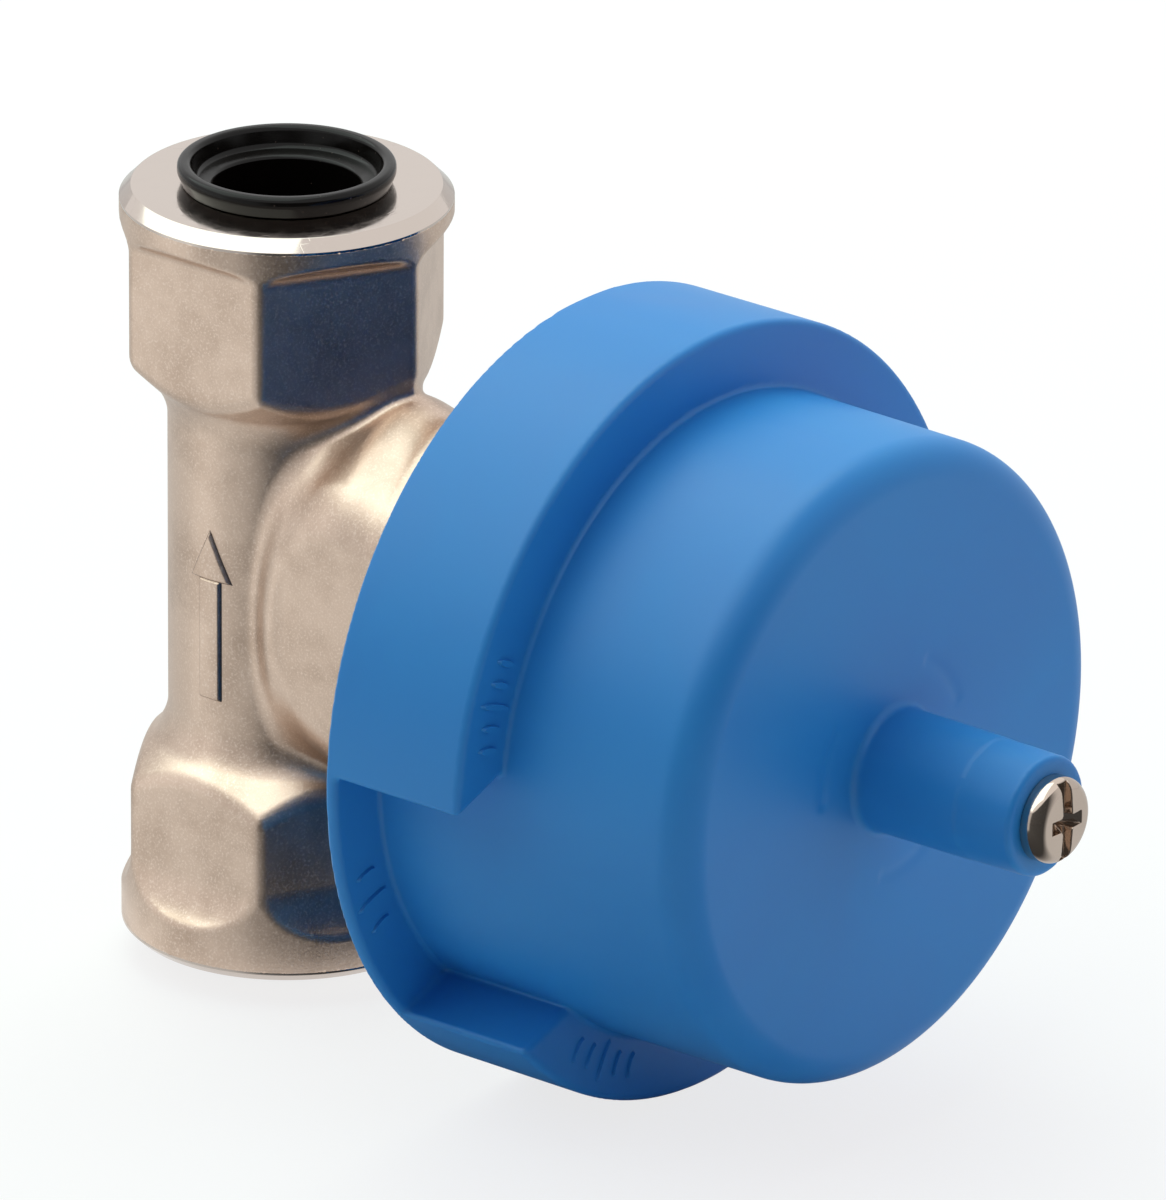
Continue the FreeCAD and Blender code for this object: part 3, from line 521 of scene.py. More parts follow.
# Valve body: hexagon ends on a tube, with the boss of the headwork blended into it
castBody = {
    "length": 88.0, "tube": 13.2, "tubeInset": 6.0, "blend": 4.2,
    # hexagon ends
    "collar": 18.49, "collarEdge": 0.35, "flats": 16.15, "endLength": 24.4, "hexCorner": 0.65, "hexEnd": 0.9,
    "endRoot": 1.8, "rim": 1.3, "foot": 0.9, "lip": 0.25, "faceGap": 0.3,
    "topEnd": {"collarHeight": 3.4, "flatStart": 4.8, "fillet": 0.9},
    "lowEnd": {"collarHeight": 5.0, "flatStart": 7.9, "fillet": 1.7},
    # boss
    "bossEdge": 2.9, "bossHalf": 13.5, "bossBack": 17.5, "bossDepth": 11.2, "rise": 16.0, "drop": 12.2,
    "crest": 10.2, "keel": 8.0, "keelShare": 0.5, "saddle": 7.0, "knee": 23.0, "fallEnd": 35.0, "backFall": 1.2,
    "frontFall": 7.4, "sideTaper": 1.0, "steepness": 0.8, "overlap": 1.0, "reach": 36.0,
    "mouth": 17.0, "mouthHeight": 4.0, "mouthRoot": 0.8,
    # ways inside
    "port": 10.48, "portDepth": 15.0, "chamber": 11.19, "chamberFloor": 4.0, "groove": 13.1, "grooveDepth": 1.9,
    "seatWay": 4.3, "seatBack": 6.0, "passage": 4.6, "inletOffset": 5.1, "inletWay": 46.2, "outletOffset": 7.2,
    "outletWay": 47.0,
    "boxLow": (-18.6, -36.1, -0.1), "boxHigh": (18.6, 18.6, 88.1), "step": 0.45, "keep": 0.85,
}


def endField(x, y, z, shape, chamfer):
    # one hexagon end that stands on z = 0
    v = castBody
    radial = np.hypot(x, y)
    flare = v["collar"] - v["tube"]
    cone = (radial + z - v["collar"] - v["endLength"] + flare) * math.sqrt(0.5)
    foot = (radial - z - v["collar"] + chamfer) * math.sqrt(0.5)
    overhang, drop = v["collar"] - v["flats"], shape["flatStart"] - shape["collarHeight"]
    slant = math.hypot(overhang, drop)
    hexagon = None
    for turn in (0, 60, 120):
        across = np.abs(x * math.cos(math.radians(turn)) + y * math.sin(math.radians(turn)))
        under = ((z - shape["flatStart"]) * overhang + (across - v["flats"]) * drop) / slant
        face = roundOut(across - v["flats"], under, shape["fillet"])
        hexagon = face if hexagon is None else roundIn(hexagon, face, v["hexCorner"])
    solid = roundIn(hexagon, cone, v["hexEnd"])
    solid = roundIn(solid, radial - v["collar"], v["collarEdge"])
    solid = np.maximum(solid, foot)
    return np.maximum(solid, v["faceGap"] - z)


def bossField(x, y, z):
    v = castBody
    reach = -y
    height = z - axisHeight
    side = np.abs(x) - v["bossHalf"] + v["sideTaper"] * ramp(reach, v["knee"], v["reach"])
    arch = math.hypot(v["bossHalf"], v["saddle"]) - v["saddle"]
    share = 1 - (np.hypot(x, v["saddle"]) - v["saddle"]) / arch
    limits = []
    fall = v["backFall"] * ramp(reach, v["bossBack"], v["knee"]) + v["frontFall"] * ramp(
        reach, v["knee"], v["fallEnd"])
    for lift, rise, gentle in ((v["crest"], v["rise"], 1.0), (v["keel"], v["drop"], v["keelShare"])):
        level = (height if lift == v["crest"] else -height) - lift * share
        back = np.maximum(v["bossBack"] - reach, 0) / v["bossDepth"]
        bulge = np.sqrt(back ** 2 + np.maximum(level, 0) ** 2 / rise ** 2)
        near = (bulge - 1) * rise
        far = level - rise + fall * gentle
        limits.append(np.where(reach < v["bossBack"], near, far) * v["steepness"])
    solid = roundIn(limits[0], side, v["bossEdge"])
    solid = roundIn(solid, limits[1], v["bossEdge"])
    return np.maximum(solid, reach - (v["reach"] - v["mouthHeight"] + v["overlap"]))


# Flow arrow, cast with the tube
castArrow = {
    "low": 30.8, "headLow": 45.0, "tip": 50.6, "shaftHalf": 1.45, "headHalf": 2.75,
    # the last size is the width in mm of the painted shade along the crease at the arrow's foot
    "raised": 0.42, "edge": 0.42, "root": 0.06, "sunk": 0.6, "creaseShadeWidth": 0.24,
    "boxLow": (-14.2, -4.4, 29.8), "boxHigh": (-11.4, 4.4, 52.8), "step": 0.17, "keep": 1.0,
}


def arrowField(across, along):
    # flat arrow that points up the tube
    v = castArrow
    middle = (v["low"] + v["headLow"]) / 2
    shaft = np.maximum(np.abs(across) - v["shaftHalf"], np.abs(along - middle) - middle + v["low"])
    slope = v["headHalf"] / (v["tip"] - v["headLow"])
    sides = (np.abs(across) - (v["tip"] - along) * slope) / math.hypot(1, slope)
    return np.minimum(shaft, np.maximum(sides, v["headLow"] - along))


def bodyField(x, y, z):
    v = castBody
    radial = np.hypot(x, y)
    tube = np.maximum(radial - v["tube"], np.abs(z - v["length"] / 2) - v["length"] / 2 + v["tubeInset"])
    low = endField(x, y, z, v["lowEnd"], v["foot"] + v["lip"])
    ends = np.minimum(low, endField(x, y, v["length"] - z, v["topEnd"], v["rim"] + v["lip"]))
    solid = roundOut(tube, bossField(x, y, z), v["blend"])
    solid = roundOut(solid, ends, v["endRoot"])
    around = np.hypot(x, z - axisHeight)
    half = v["mouthHeight"] / 2
    mouth = np.maximum(around - v["mouth"], np.abs(-y - v["reach"] + half) - half + v["faceGap"])
    solid = roundOut(solid, mouth, v["mouthRoot"])
    bore = around - v["chamber"]
    chamber = np.maximum(bore, v["chamberFloor"] + y)
    groove = np.maximum(around - v["groove"], v["reach"] - v["grooveDepth"] + y)
    hollow = np.minimum(chamber, groove)
    seat = np.maximum(np.maximum(around - v["seatWay"], y - v["inletOffset"]), -v["seatBack"] - y)
    hollow = np.minimum(hollow, seat)
    for depth, offset, end in ((z, v["inletOffset"], v["inletWay"]),
                               (v["length"] - z, -v["outletOffset"], v["outletWay"])):
        port = np.maximum(radial - v["port"], depth - v["portDepth"])
        way = np.maximum(np.hypot(x, y - offset) - v["passage"], depth - end)
        hollow = np.minimum(hollow, np.minimum(port, way))
    return np.maximum(solid, -hollow)


body = skinned("forgedBody", bodyField, castBody)
dress(body, castMetal, "valve", "nickel_brass", "valve_body")


def raisedField(x, y, z):
    v = castArrow
    outline = arrowField(y, z)
    height = (v["raised"] + v["root"]) * ramp(-outline, -v["edge"] / 2, v["edge"] / 2) - v["root"]
    radial, tube = np.hypot(x, y), castBody["tube"]
    shell = np.maximum(radial - tube - height, tube - v["sunk"] - radial)
    return np.maximum(np.maximum(shell, outline - v["edge"]), x)


arrow = skinned("castArrow", raisedField, castArrow)
spots = np.empty(len(arrow.data.vertices) * 3)
arrow.data.vertices.foreach_get("co", spots)
spots = spots.reshape(-1, 3) / mm
# painted shade: a dark band on the arrow, strongest at the foot of its flanks and fading over that width
away = arrowField(spots[:, 1], spots[:, 2]) - castArrow["edge"] / 2
creaseShade = np.exp(-(away / castArrow["creaseShadeWidth"]) ** 2)
arrow.data.attributes.new("creaseShade", "FLOAT", "POINT").data.foreach_set("value", creaseShade)
dress(arrow, castMetal, "valve", "nickel_brass", "valve_body")

# Turned faces of both ports, which stand 0.3 mm over the forging. Outlines in mm: radius, height, rounding
portFaces = {
    "outlet": ((9.8, -0.9, 0), (9.8, -0.5, 0), (10.7, 0.0, 0.1), (17.19, 0.0, 0.12), (18.5, -1.3, 0.1),
               (18.44, -1.65, 0), (16.89, -0.9, 0)),
    "inlet": ((9.8, 0.9, 0), (10.7, 0.0, 0.1), (17.59, 0.0, 0.1), (18.5, 0.9, 0.1), (18.44, 1.2, 0),
              (17.09, 1.1, 0)),
    "segments": 192,
}


def makeTurnedFaces():
    outlines = []
    for port, height in (("outlet", castBody["length"]), ("inlet", 0.0)):
        outlines.append(rounded([(radius, height + z, edge) for radius, z, edge in portFaces[port]]))
    return lathed("turnedPortFaces", outlines, portFaces["segments"])


faces = makeTurnedFaces()
dress(faces, turnedMetal, "valve", "nickel_brass", "valve_body")

# Turned ring round the boss's mouth
mouthRing = {"outer": 17.01, "inner": 15.8, "bore": 13.12, "reach": 36.0, "depth": 1.8, "skirt": 3.7,
             "boreEdge": 0.15, "edge": 0.35, "skirtEdge": 0.3}


def makeMouthRing():
    v = mouthRing
    reach, back, end = v["reach"], v["reach"] - v["depth"], v["reach"] - v["skirt"]
    line = rounded([
        (v["bore"], back, 0), (v["bore"], reach, v["boreEdge"]), (v["outer"], reach, v["edge"]),
        (v["outer"], end, v["skirtEdge"]), (v["inner"], end, 0), (v["inner"], back, 0)])
    return lathed("turnedMouth", [line], along="headwork")


mouth = makeMouthRing()
dress(mouth, turnedMetal, "valve", "nickel_brass", "valve_body")
print("body done")

# Thread of the inlet port: half-inch pipe thread, 14 turns to the inch
inletThread = {"Pitch": 1.814, "Start": 0.9, "Length": 13.4, "Root radius": 10.53, "Crest radius": 9.36,
               "Root width": 1.7, "Crest width": 0.3, "Steps": 72}
inletThreadAim = -90.0  # degrees, turns the ridge's crest towards the axis


def makeThread():
    tree, sizes = newTree("inletThread", inletThread)
    root, crest = sizes["Root radius"], sizes["Crest radius"]
    turns = addNode(tree, "ShaderNodeMath", {"operation": "DIVIDE"}, {0: sizes["Length"], 1: sizes["Pitch"]})
    both = addNode(tree, "ShaderNodeMath", {"operation": "ADD"}, {0: root, 1: crest})
    middle = addNode(tree, "ShaderNodeMath", {"operation": "MULTIPLY"}, {0: both.outputs[0], 1: 0.5 * mm})
    depth = addNode(tree, "ShaderNodeMath", {"operation": "SUBTRACT"}, {0: root, 1: crest})
    length = addNode(tree, "ShaderNodeMath", {"operation": "MULTIPLY"}, {0: sizes["Length"], 1: mm})
    spiral = addNode(tree, "GeometryNodeCurveSpiral", inputs={
        "Resolution": sizes["Steps"], "Rotations": turns.outputs[0], "Start Radius": middle.outputs[0],
        "End Radius": middle.outputs[0], "Height": length.outputs[0]})
    upright = addNode(tree, "GeometryNodeSetCurveNormal", {"mode": "Z_UP"}, {"Curve": spiral.outputs[0]})
    ridge = addNode(tree, "GeometryNodeCurvePrimitiveQuadrilateral", {"mode": "TRAPEZOID"}, {
        "Bottom Width": sizes["Root width"], "Top Width": sizes["Crest width"], "Height": depth.outputs[0],
        "Offset": 0.0})
    aimed = addNode(tree, "GeometryNodeTransform", inputs={
        "Geometry": ridge.outputs[0], "Rotation": (0, 0, math.radians(inletThreadAim)), "Scale": (mm, mm, mm)})
    swept = addNode(tree, "GeometryNodeCurveToMesh", inputs={
        "Curve": upright.outputs[0], "Profile Curve": aimed.outputs[0], "Fill Caps": True})
    start = addNode(tree, "ShaderNodeMath", {"operation": "MULTIPLY"}, {0: sizes["Start"], 1: mm})
    place = addNode(tree, "ShaderNodeCombineXYZ", inputs={"Z": start.outputs[0]})
    moved = addNode(tree, "GeometryNodeTransform", inputs={
        "Geometry": swept.outputs[0], "Translation": place.outputs[0]})
    closeTree(tree, moved.outputs[0], turnedMetal)
    return grown("inletThread", tree, inletThread)


thread = makeThread()
dress(thread, turnedMetal, "valve", "nickel_brass")

# Transit plug: a dished rim with a rounded lip over a cup. Outline in mm: radius, height over the body, rounding
transitPlug = {
    "outline": ((0.02, -11.0, 0), (9.1, -11.0, 0.6), (9.1, -0.01, 0), (11.5, 0.02, 0.3), (12.1, 1.5, 0.9),
                (12.07, 2.6, 0.62), (10.6, 2.6, 0.6), (10.15, 0.35, 0.7), (8.15, -0.05, 0.45), (7.8, -9.0, 0.5),
                (0.02, -9.0, 0)),
    "arcSteps": 7, "segments": 176,
}


def makePlug():
    v = transitPlug
    corners = [(radius, castBody["length"] + height, edge) for radius, height, edge in v["outline"]]
    return lathed("dishedPlug", [rounded(corners, v["arcSteps"])], v["segments"])


plug = makePlug()
dress(plug, blackPlug, "valve", "black_plastic", "outlet_plug")
print("plug done")

# Plaster guard: cup, depth flange with its notch, hollow post, ribs and legs
guardShape = {
    "back": 42.0, "floor": 43.4, "top": 60.4, "face": 85.3, "flange": 43.995, "cup": 36.6, "cupFront": 36.15,
    "wall": 1.5, "faceRounding": 4.0, "edge": 0.8, "backEdge": 0.4,
    "notchHalf": 16.6, "notchAngle": 200.3, "notchRoot": 0.7,
    # faint sink marks on the face over the legs
    "sinkDepth": 0.15, "sinkOut": 0.7, "sinkWidth": 0.8, "sinkStart": 19.0, "sinkEnd": 24.0,
    "post": 7.0, "postTip": 6.82, "postLine": 98.6, "postStep": 0.06, "stepLength": 0.5, "postEnd": 106.25,
    "postEdge": 0.6, "postSunk": 3.0, "cupRoot": 0.55, "postRoot": 0.8,
    # behind the face
    "ceiling": 0.4, "ceilingRounding": 2.5, "sleeve": 6.4, "sleeveBack": 72.0, "sleeveEdge": 0.4,
    "bore": 4.5, "boreEnd": 2.6, "hole": 2.7,
    "ribs": 6, "ribReach": 18.4, "ribHalf": 0.7, "ribHeight": 12.0, "ribSlope": 0.92, "ribSteepness": 0.72,
    "legs": 3, "legStart": 42.0, "legRadius": 11.6, "legHalfAngle": 22.0, "legHeight": 16.0,
    "fineEdge": 0.3, "ribRoot": 0.4, "innerRoot": 0.5,
    "boxLow": (-44.1, -106.4, -3.1), "boxHigh": (44.1, -41.9, 85.1), "step": 0.5, "keep": 0.5,
}


def guardField(x, y, z):
    v = guardShape
    reach = -y
    height = z - axisHeight
    radial = np.hypot(x, height)
    turn = math.radians(v["notchAngle"])
    out = x * math.cos(turn) + height * math.sin(turn)
    across = np.abs(height * math.cos(turn) - x * math.sin(turn))
    # flange with its notch
    flange = roundIn(radial - v["flange"], reach - v["top"], v["edge"])
    flange = roundIn(flange, v["back"] - reach, v["backEdge"])
    keep = roundOut(reach - v["floor"], v["notchHalf"] - across, v["notchRoot"])
    keep = np.minimum(keep, out)
    flange = roundIn(flange, keep, v["edge"])
    # cup and post
    share = (reach - v["back"]) / (v["face"] - v["back"])
    wall = v["cup"] + (v["cupFront"] - v["cup"]) * share
    cup = roundIn(radial - wall, reach - v["face"], v["faceRounding"])
    cup = np.maximum(cup, v["back"] - reach)
    angle = np.degrees(np.arctan2(height, x))
    spacing = 360 / v["legs"]
    offset = np.abs((angle - v["legStart"] + spacing / 2) % spacing - spacing / 2)
    hollowed = np.exp(-((radial - v["legRadius"] - v["sinkOut"]) / v["sinkWidth"]) ** 2)
    sink = v["sinkDepth"] * hollowed * ramp(-offset, -v["sinkEnd"], -v["sinkStart"])
    cup = cup + np.where(reach > v["face"] - v["wall"], sink, 0)
    solid = roundOut(flange, cup, v["cupRoot"])
    taper = (reach - v["face"]) / (v["postEnd"] - v["face"])
    tipStep = v["postStep"] * ramp(reach, v["postLine"], v["postLine"] + v["stepLength"])
    side = radial - v["post"] + (v["post"] - v["postTip"]) * taper + tipStep
    post = roundIn(side, reach - v["postEnd"], v["postEdge"])
    post = np.maximum(post, v["face"] - v["postSunk"] - reach)
    solid = roundOut(solid, post, v["postRoot"])
    # hollow behind the face, with the sleeve, ribs and legs left standing
    ceiling = v["face"] - v["wall"] - v["ceiling"]
    cavity = roundIn(radial - wall + v["wall"], reach - ceiling, v["ceilingRounding"])
    sleeve = roundIn(radial - v["sleeve"], v["sleeveBack"] - reach, v["sleeveEdge"])
    spread = 360 / v["ribs"]
    ribOffset = np.radians((angle + spread / 2) % spread - spread / 2)
    beside = np.abs(radial * np.sin(ribOffset)) - v["ribHalf"]
    slant = (ceiling - v["ribHeight"] - reach + (radial - v["sleeve"]) * v["ribSlope"]) * v["ribSteepness"]
    rib = roundIn(roundIn(beside, radial - v["ribReach"], v["fineEdge"]), slant, v["fineEdge"])
    half = v["wall"] / 2
    leg = np.maximum(np.abs(radial - v["legRadius"] - half) - half, ceiling - v["legHeight"] - reach)
    leg = roundIn(leg, np.radians(offset - v["legHalfAngle"]) * np.maximum(radial, 1), v["fineEdge"])
    standing = roundOut(np.minimum(sleeve, leg), rib, v["ribRoot"])
    cavity = roundIn(cavity, -standing, v["innerRoot"])
    channel = np.maximum(radial - v["flange"] + v["wall"], wall - radial)
    channel = roundIn(channel, reach - v["top"] + v["wall"], v["innerRoot"])
    channel = np.maximum(channel, np.where(out > 0, v["notchHalf"] + v["wall"] - across, -np.inf))
    bore = np.maximum(radial - v["bore"], reach - v["postEnd"] + v["boreEnd"])
    hole = radial - v["hole"]
    hollow = np.minimum(np.minimum(cavity, channel), np.minimum(bore, hole))
    return np.maximum(solid, -hollow)


guard = skinned("mouldedGuard", guardField, guardShape)
dress(guard, blueGuard, "spindle_group", "blue_plastic", "plaster_guard")
print("guard done")

# Plain raised ticks of a gauge on the flange and on the floor of its notch: angles in degrees from +X, mm
gaugeTicks = (
    {"Radius": 39.8, "From": 154.5, "To": 168.5, "Reach": 60.35, "Count": 5, "Middle": 2},
    {"Radius": 39.8, "From": -125.5, "To": -110.5, "Reach": 60.35, "Count": 5, "Middle": 2},
    {"Radius": 40.4, "From": -164.0, "To": -154.0, "Reach": 43.35, "Count": 3, "Middle": 1},
)
tickShape = {"long": 5.2, "short": 0.62, "width": 0.85, "height": 0.4, "top": 0.8, "corners": 18}


def makeTicks():
    shape = tickShape
    tree, sizes = newTree("gaugeTicks", gaugeTicks[0])
    radius = addNode(tree, "ShaderNodeMath", {"operation": "MULTIPLY"}, {0: sizes["Radius"], 1: mm})
    start = addNode(tree, "ShaderNodeMath", {"operation": "RADIANS"}, {0: sizes["From"]})
    span = addNode(tree, "ShaderNodeMath", {"operation": "SUBTRACT"}, {0: sizes["To"], 1: sizes["From"]})
    sweep = addNode(tree, "ShaderNodeMath", {"operation": "RADIANS"}, {0: span.outputs[0]})
    arc = addNode(tree, "GeometryNodeCurveArc", {"mode": "RADIUS"}, {
        "Resolution": sizes["Count"], "Radius": radius.outputs[0], "Start Angle": start.outputs[0],
        "Sweep Angle": sweep.outputs[0]})
    tick = addNode(tree, "GeometryNodeMeshCone", inputs={
        "Vertices": shape["corners"], "Radius Top": shape["top"] / 2, "Radius Bottom": 0.5, "Depth": 1.0})
    sized = addNode(tree, "GeometryNodeTransform", inputs={
        "Geometry": tick.outputs["Mesh"],
        "Scale": (shape["long"] * mm, shape["width"] * mm, shape["height"] * mm)})
    here = addNode(tree, "GeometryNodeInputPosition")
    spot = addNode(tree, "ShaderNodeSeparateXYZ", inputs={"Vector": here.outputs[0]})
    angle = addNode(tree, "ShaderNodeMath", {"operation": "ARCTAN2"}, {
        0: spot.outputs["Y"], 1: spot.outputs["X"]})
    turned = addNode(tree, "ShaderNodeCombineXYZ", inputs={"Z": angle.outputs[0]})
    index = addNode(tree, "GeometryNodeInputIndex")
    same = addNode(tree, "ShaderNodeMath", {"operation": "COMPARE"}, {
        0: index.outputs[0], 1: sizes["Middle"], 2: 0.1})
    reachOut = addNode(tree, "ShaderNodeMapRange", inputs={
        "Value": same.outputs[0], "To Min": shape["short"], "To Max": 1.0})
    scale = addNode(tree, "ShaderNodeCombineXYZ", inputs={"X": reachOut.outputs["Result"], "Y": 1.0, "Z": 1.0})
    row = addNode(tree, "GeometryNodeInstanceOnPoints", inputs={
        "Points": arc.outputs["Curve"], "Instance": sized.outputs[0], "Rotation": turned.outputs[0],
        "Scale": scale.outputs[0]})
    depth = addNode(tree, "ShaderNodeMath", {"operation": "MULTIPLY"}, {0: sizes["Reach"], 1: -mm})
    place = addNode(tree, "ShaderNodeCombineXYZ", inputs={"Y": depth.outputs[0], "Z": axisHeight * mm})
    moved = addNode(tree, "GeometryNodeTransform", inputs={
        "Geometry": row.outputs[0], "Translation": place.outputs[0], "Rotation": (math.pi / 2, 0, 0)})
    closeTree(tree, moved.outputs[0], blueGuard)
    return grown("gaugeTicks", tree, *gaugeTicks)


ticks = makeTicks()
dress(ticks, blueGuard, "spindle_group", "blue_plastic")
print("ticks done")

# Guard screw: pan head with a cross recess
guardScrew = {
    "radius": 4.86, "seat": 106.25, "height": 2.95, "dome": 1.7, "domeShare": 0.8, "crown": 0.018,
    "inset": 0.02, "shank": 2.4, "length": 14.0, "overlap": 1.0,
    "slotHalf": 4.5, "slotWidth": 0.78, "slotDepth": 1.25, "slotEdge": 0.12,
    "crossHalf": 2.7, "crossDepth": 2.3, "crossTaper": 0.1, "crossSlope": 0.8, "crossRoot": 0.35,
    "boxLow": (-5.2, -110.1, 35.8), "boxHigh": (5.2, -92.2, 46.2), "step": 0.14, "keep": 0.9,
}


def screwField(x, y, z):
    v = guardScrew
    reach = -y
    height = z - axisHeight
    radial = np.hypot(x, height)
    top = v["seat"] + v["height"]
    crown = reach - top + v["inset"] + radial ** 2 * v["crown"]
    head = roundIn(radial - v["radius"] + v["inset"], crown, v["dome"] * v["domeShare"])
    head = np.maximum(head, v["seat"] - reach)
    shank = np.maximum(radial - v["shank"], v["seat"] - v["length"] - reach)
    shank = np.maximum(shank, reach - v["seat"] - v["overlap"])
    depth = top - reach
    # a slot right across, with a deeper cross in its middle
    slot = np.maximum(np.abs(x) - v["slotWidth"], np.abs(height) - v["slotHalf"])
    slot = np.maximum(slot, depth - v["slotDepth"])
    cross = None
    for a, b in ((x, height), (height, x)):
        arm = np.maximum(np.abs(a) - v["slotWidth"] + v["crossTaper"] * depth,
                         np.abs(b) - v["crossHalf"] + v["crossSlope"] * depth)
        cross = arm if cross is None else roundOut(cross, arm, v["crossRoot"])
    cross = np.maximum(cross, depth - v["crossDepth"])
    return roundIn(np.minimum(head, shank), -np.minimum(slot, cross), v["slotEdge"])


screw = skinned("crossHeadScrew", screwField, guardScrew)
dress(screw, finishes["nickel_steel"], "spindle_group", "nickel_steel", "guard_screw")
print("screw done")

# The pieces that keep the frame's own shape
slotOf = {part["node"]: part["material_slot"] for part in frame["record"]["subparts"]}
for node, piece in frame["nodes"].items():
    finish = finishes.get(slotOf[node])
    if finish:
        for number in range(len(piece.material_slots)):
            piece.material_slots[number].material = finish
print("headwork dressed")

# Floor, light and camera
studio = {
    "floorHeight": -3.3, "floorSize": 8.0, "floor": "#F4F4F4", "lift": 0.78,  # mm, m
    "worldLight": 0.2, "worldTint": "#F8E6FF", "aim": -40.0,
}


def straightSeen(tree):
    # 1 where the camera, gloss or glass looks, 0 for the light that matt faces gather
    ray = addNode(tree, "ShaderNodeLightPath").outputs
    either = addNode(tree, "ShaderNodeMath", {"operation": "MAXIMUM"}, {
        0: ray["Is Camera Ray"], 1: ray["Is Glossy Ray"]})
    seen = addNode(tree, "ShaderNodeMath", {"operation": "MAXIMUM"}, {
        0: either.outputs[0], 1: ray["Is Transmission Ray"]})
    return seen.outputs[0]


def makeFloor():
    half = studio["floorSize"] / 2
    height = studio["floorHeight"] * mm
    mesh = bpy.data.meshes.new("floor")
    corners = [(-half, -half, height), (half, -half, height), (half, half, height), (-half, half, height)]
    mesh.from_pydata(corners, [], [(0, 1, 2, 3)])
    made, tree = freshMaterial("paleStudioFloor")
    pale = addNode(tree, "ShaderNodeBsdfDiffuse", inputs={"Color": linear(studio["floor"])})
    rest = 1 - studio["lift"]
    soft = addNode(tree, "ShaderNodeBsdfDiffuse", inputs={"Color": (rest, rest, rest, 1)})
    glow = addNode(tree, "ShaderNodeEmission", inputs={"Strength": studio["lift"]})
    both = addNode(tree, "ShaderNodeAddShader", inputs={0: soft.outputs[0], 1: glow.outputs[0]})
    mixed = addNode(tree, "ShaderNodeMixShader", inputs={
        0: straightSeen(tree), 1: pale.outputs[0], 2: both.outputs[0]})
    addNode(tree, "ShaderNodeOutputMaterial", inputs={"Surface": mixed.outputs[0]})
    mesh.materials.append(made)
    floor = added("floor", mesh)


def makeWorld():
    world = bpy.data.worlds.new("studio")
    bpy.context.scene.world = world
    world.use_nodes = True
    tree = world.node_tree
    tree.nodes.clear()
    light = addNode(tree, "ShaderNodeBackground", inputs={
        "Color": linear(studio["worldTint"]), "Strength": studio["worldLight"]})
    back = addNode(tree, "ShaderNodeBackground", inputs={"Color": (1, 1, 1, 1), "Strength": 1.0})
    mixed = addNode(tree, "ShaderNodeMixShader", inputs={
        0: straightSeen(tree), 1: light.outputs[0], 2: back.outputs[0]})
    addNode(tree, "ShaderNodeOutputWorld", inputs={"Surface": mixed.outputs[0]})


# Graded dark sheet that only the gloss shows, a painted reflection: dark in front, where it stands for the dark
# room and the shade on the floor under the guard, thin elsewhere, with a gap for the light. Rings in mm: radius,
# height over the floor and table of the share covered by angle from +X in degrees
surround = {
    "rings": ((30.0, 0.2, "near"), (50.0, 0.2, "near"), (68.0, 0.2, "near"), (92.0, 0.2, "far"),
              (165.0, 0.2, "far"), (165.0, 125.0, "far")),
    "near": ((0, 0.3), (60, 0.3), (116, 0.3), (126, 0.15), (150, 0.15), (165, 0.25), (188, 0.3), (206, 0.65),
             (240, 0.94), (266, 0.94), (278, 0.2), (330, 0.2), (360, 0.3)),
    "far": ((0, 0.28), (60, 0.28), (116, 0.25), (126, 0.0), (150, 0.0), (160, 0.3), (188, 0.4), (204, 0.9),
            (268, 0.94), (280, 0.3), (330, 0.3), (360, 0.28)),
    "colour": "#151515", "parts": 120,
}


def makeSurround():
    v = surround
    wide = len(v["rings"])
    points, covered = [], []
    for k in range(v["parts"]):
        degrees = 360 * k / v["parts"]
        turn = math.radians(degrees)
        for radius, height, table in v["rings"]:
            level = studio["floorHeight"] + height
            points.append(Vector((radius * math.cos(turn), radius * math.sin(turn), level)) * mm)
            covered.append(np.interp(degrees, *zip(*v[table])))
    faces = []
    for k in range(v["parts"]):
        a, b = k * wide, (k + 1) % v["parts"] * wide
        faces += [(a + i, b + i, b + i + 1, a + i + 1) for i in range(wide - 1)]
    mesh = bpy.data.meshes.new("surround")
    mesh.from_pydata(points, [], faces)
    mesh.attributes.new("covered", "FLOAT", "POINT").data.foreach_set("value", covered)
    made, tree = freshMaterial("paintedDarkReflection")
    # painted reflection: the dark sheet, mixed in by the covered share, is seen by gloss only
    cover = addNode(tree, "ShaderNodeAttribute", {"attribute_name": "covered"})
    clear = addNode(tree, "ShaderNodeBsdfTransparent")
    darkSheet = addNode(tree, "ShaderNodeBsdfDiffuse", inputs={"Color": linear(v["colour"])})
    mixed = addNode(tree, "ShaderNodeMixShader", inputs={
        0: cover.outputs["Fac"], 1: clear.outputs[0], 2: darkSheet.outputs[0]})
    addNode(tree, "ShaderNodeOutputMaterial", inputs={"Surface": mixed.outputs[0]})
    mesh.materials.append(made)
    reflectionSheet = added("surround", mesh)
    reflectionSheet.visible_camera = False
    reflectionSheet.visible_diffuse = False
    reflectionSheet.visible_shadow = False


# Camera of the photograph, fitted to its outline points: angles in degrees, lengths in mm, focal in pixels
view = {"azimuth": -51.264, "elevation": 22.236, "roll": 0.396, "across": 32.889, "up": -2.197,
        "distance": 1934.942, "focal": 17433.887, "imageHeight": 1200, "sensor": 36.0, "nearest": 50.0,
        "farthest": 30000.0}


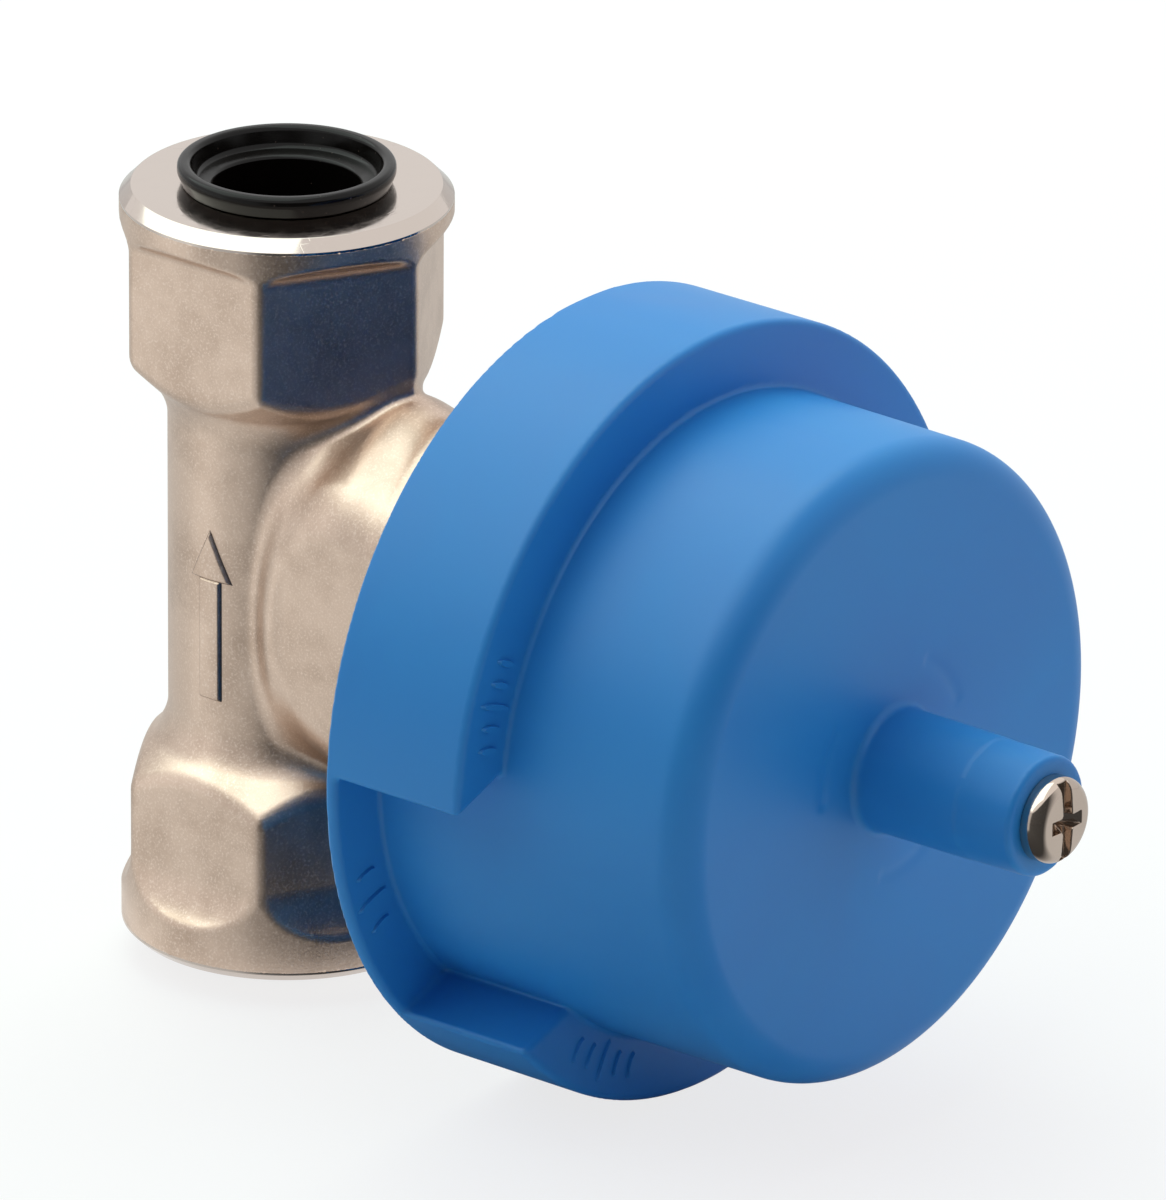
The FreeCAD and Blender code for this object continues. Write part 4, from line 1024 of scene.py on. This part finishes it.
def viewAxes():
    a, e = math.radians(view["azimuth"]), math.radians(view["elevation"])
    back = Vector((math.sin(a) * math.cos(e), -math.cos(a) * math.cos(e), math.sin(e)))
    right = Vector((math.cos(a), math.sin(a), 0))
    return right, back.cross(right), back


def makeCamera():
    right, up, back = viewAxes()
    place = back * view["distance"] + right * view["across"] + up * view["up"] + Vector((0, 0, axisHeight))
    roll = math.radians(view["roll"])
    turnedRight = right * math.cos(roll) + up * math.sin(roll)
    turnedUp = up * math.cos(roll) - right * math.sin(roll)
    lens = bpy.data.cameras.new("camera")
    lens.sensor_width = view["sensor"]
    lens.lens = view["focal"] / view["imageHeight"] * view["sensor"]
    lens.clip_start, lens.clip_end = view["nearest"] * mm, view["farthest"] * mm
    camera = bpy.data.objects.new("camera", lens)
    bpy.context.scene.collection.objects.link(camera)
    turn = Matrix((turnedRight, turnedUp, back)).transposed()
    camera.matrix_world = Matrix.Translation(place * mm) @ turn.to_4x4()
    bpy.context.scene.camera = camera


# Soft boxes: offset from the object to the photograph's right, up and towards the camera in m, size in m,
# watts, colour
softBoxes = {
    "key": ((-0.50, 1.00, 0.30), 1.6, 11.0, "#ECFFF6"),
    "fill": ((0.95, 0.30, 0.20), 1.0, 2.6, "#F2E2EC"),
    "top": ((0.0, 1.1, -0.35), 1.0, 8.0, "#E8FFEE"),
}


def makeLights():
    right, up, back = viewAxes()
    middle = Vector((0, studio["aim"], axisHeight)) * mm
    for name, (offset, size, watts, colour) in softBoxes.items():
        lamp = bpy.data.lights.new(name, "AREA")
        lamp.shape, lamp.size, lamp.energy, lamp.color = "SQUARE", size, watts, linear(colour)[:3]
        place = right * offset[0] + up * offset[1] + back * offset[2]
        box = bpy.data.objects.new(name, lamp)
        box.location = middle + place
        box.rotation_mode = "QUATERNION"
        box.rotation_quaternion = place.to_track_quat("Z", "Y")
        box.visible_camera = False
        box.visible_glossy = name == "key"
        bpy.context.scene.collection.objects.link(box)


makeFloor()
makeWorld()
makeSurround()
makeCamera()
makeLights()
bpy.context.scene.view_settings.view_transform = "Standard"
print("studio ready")
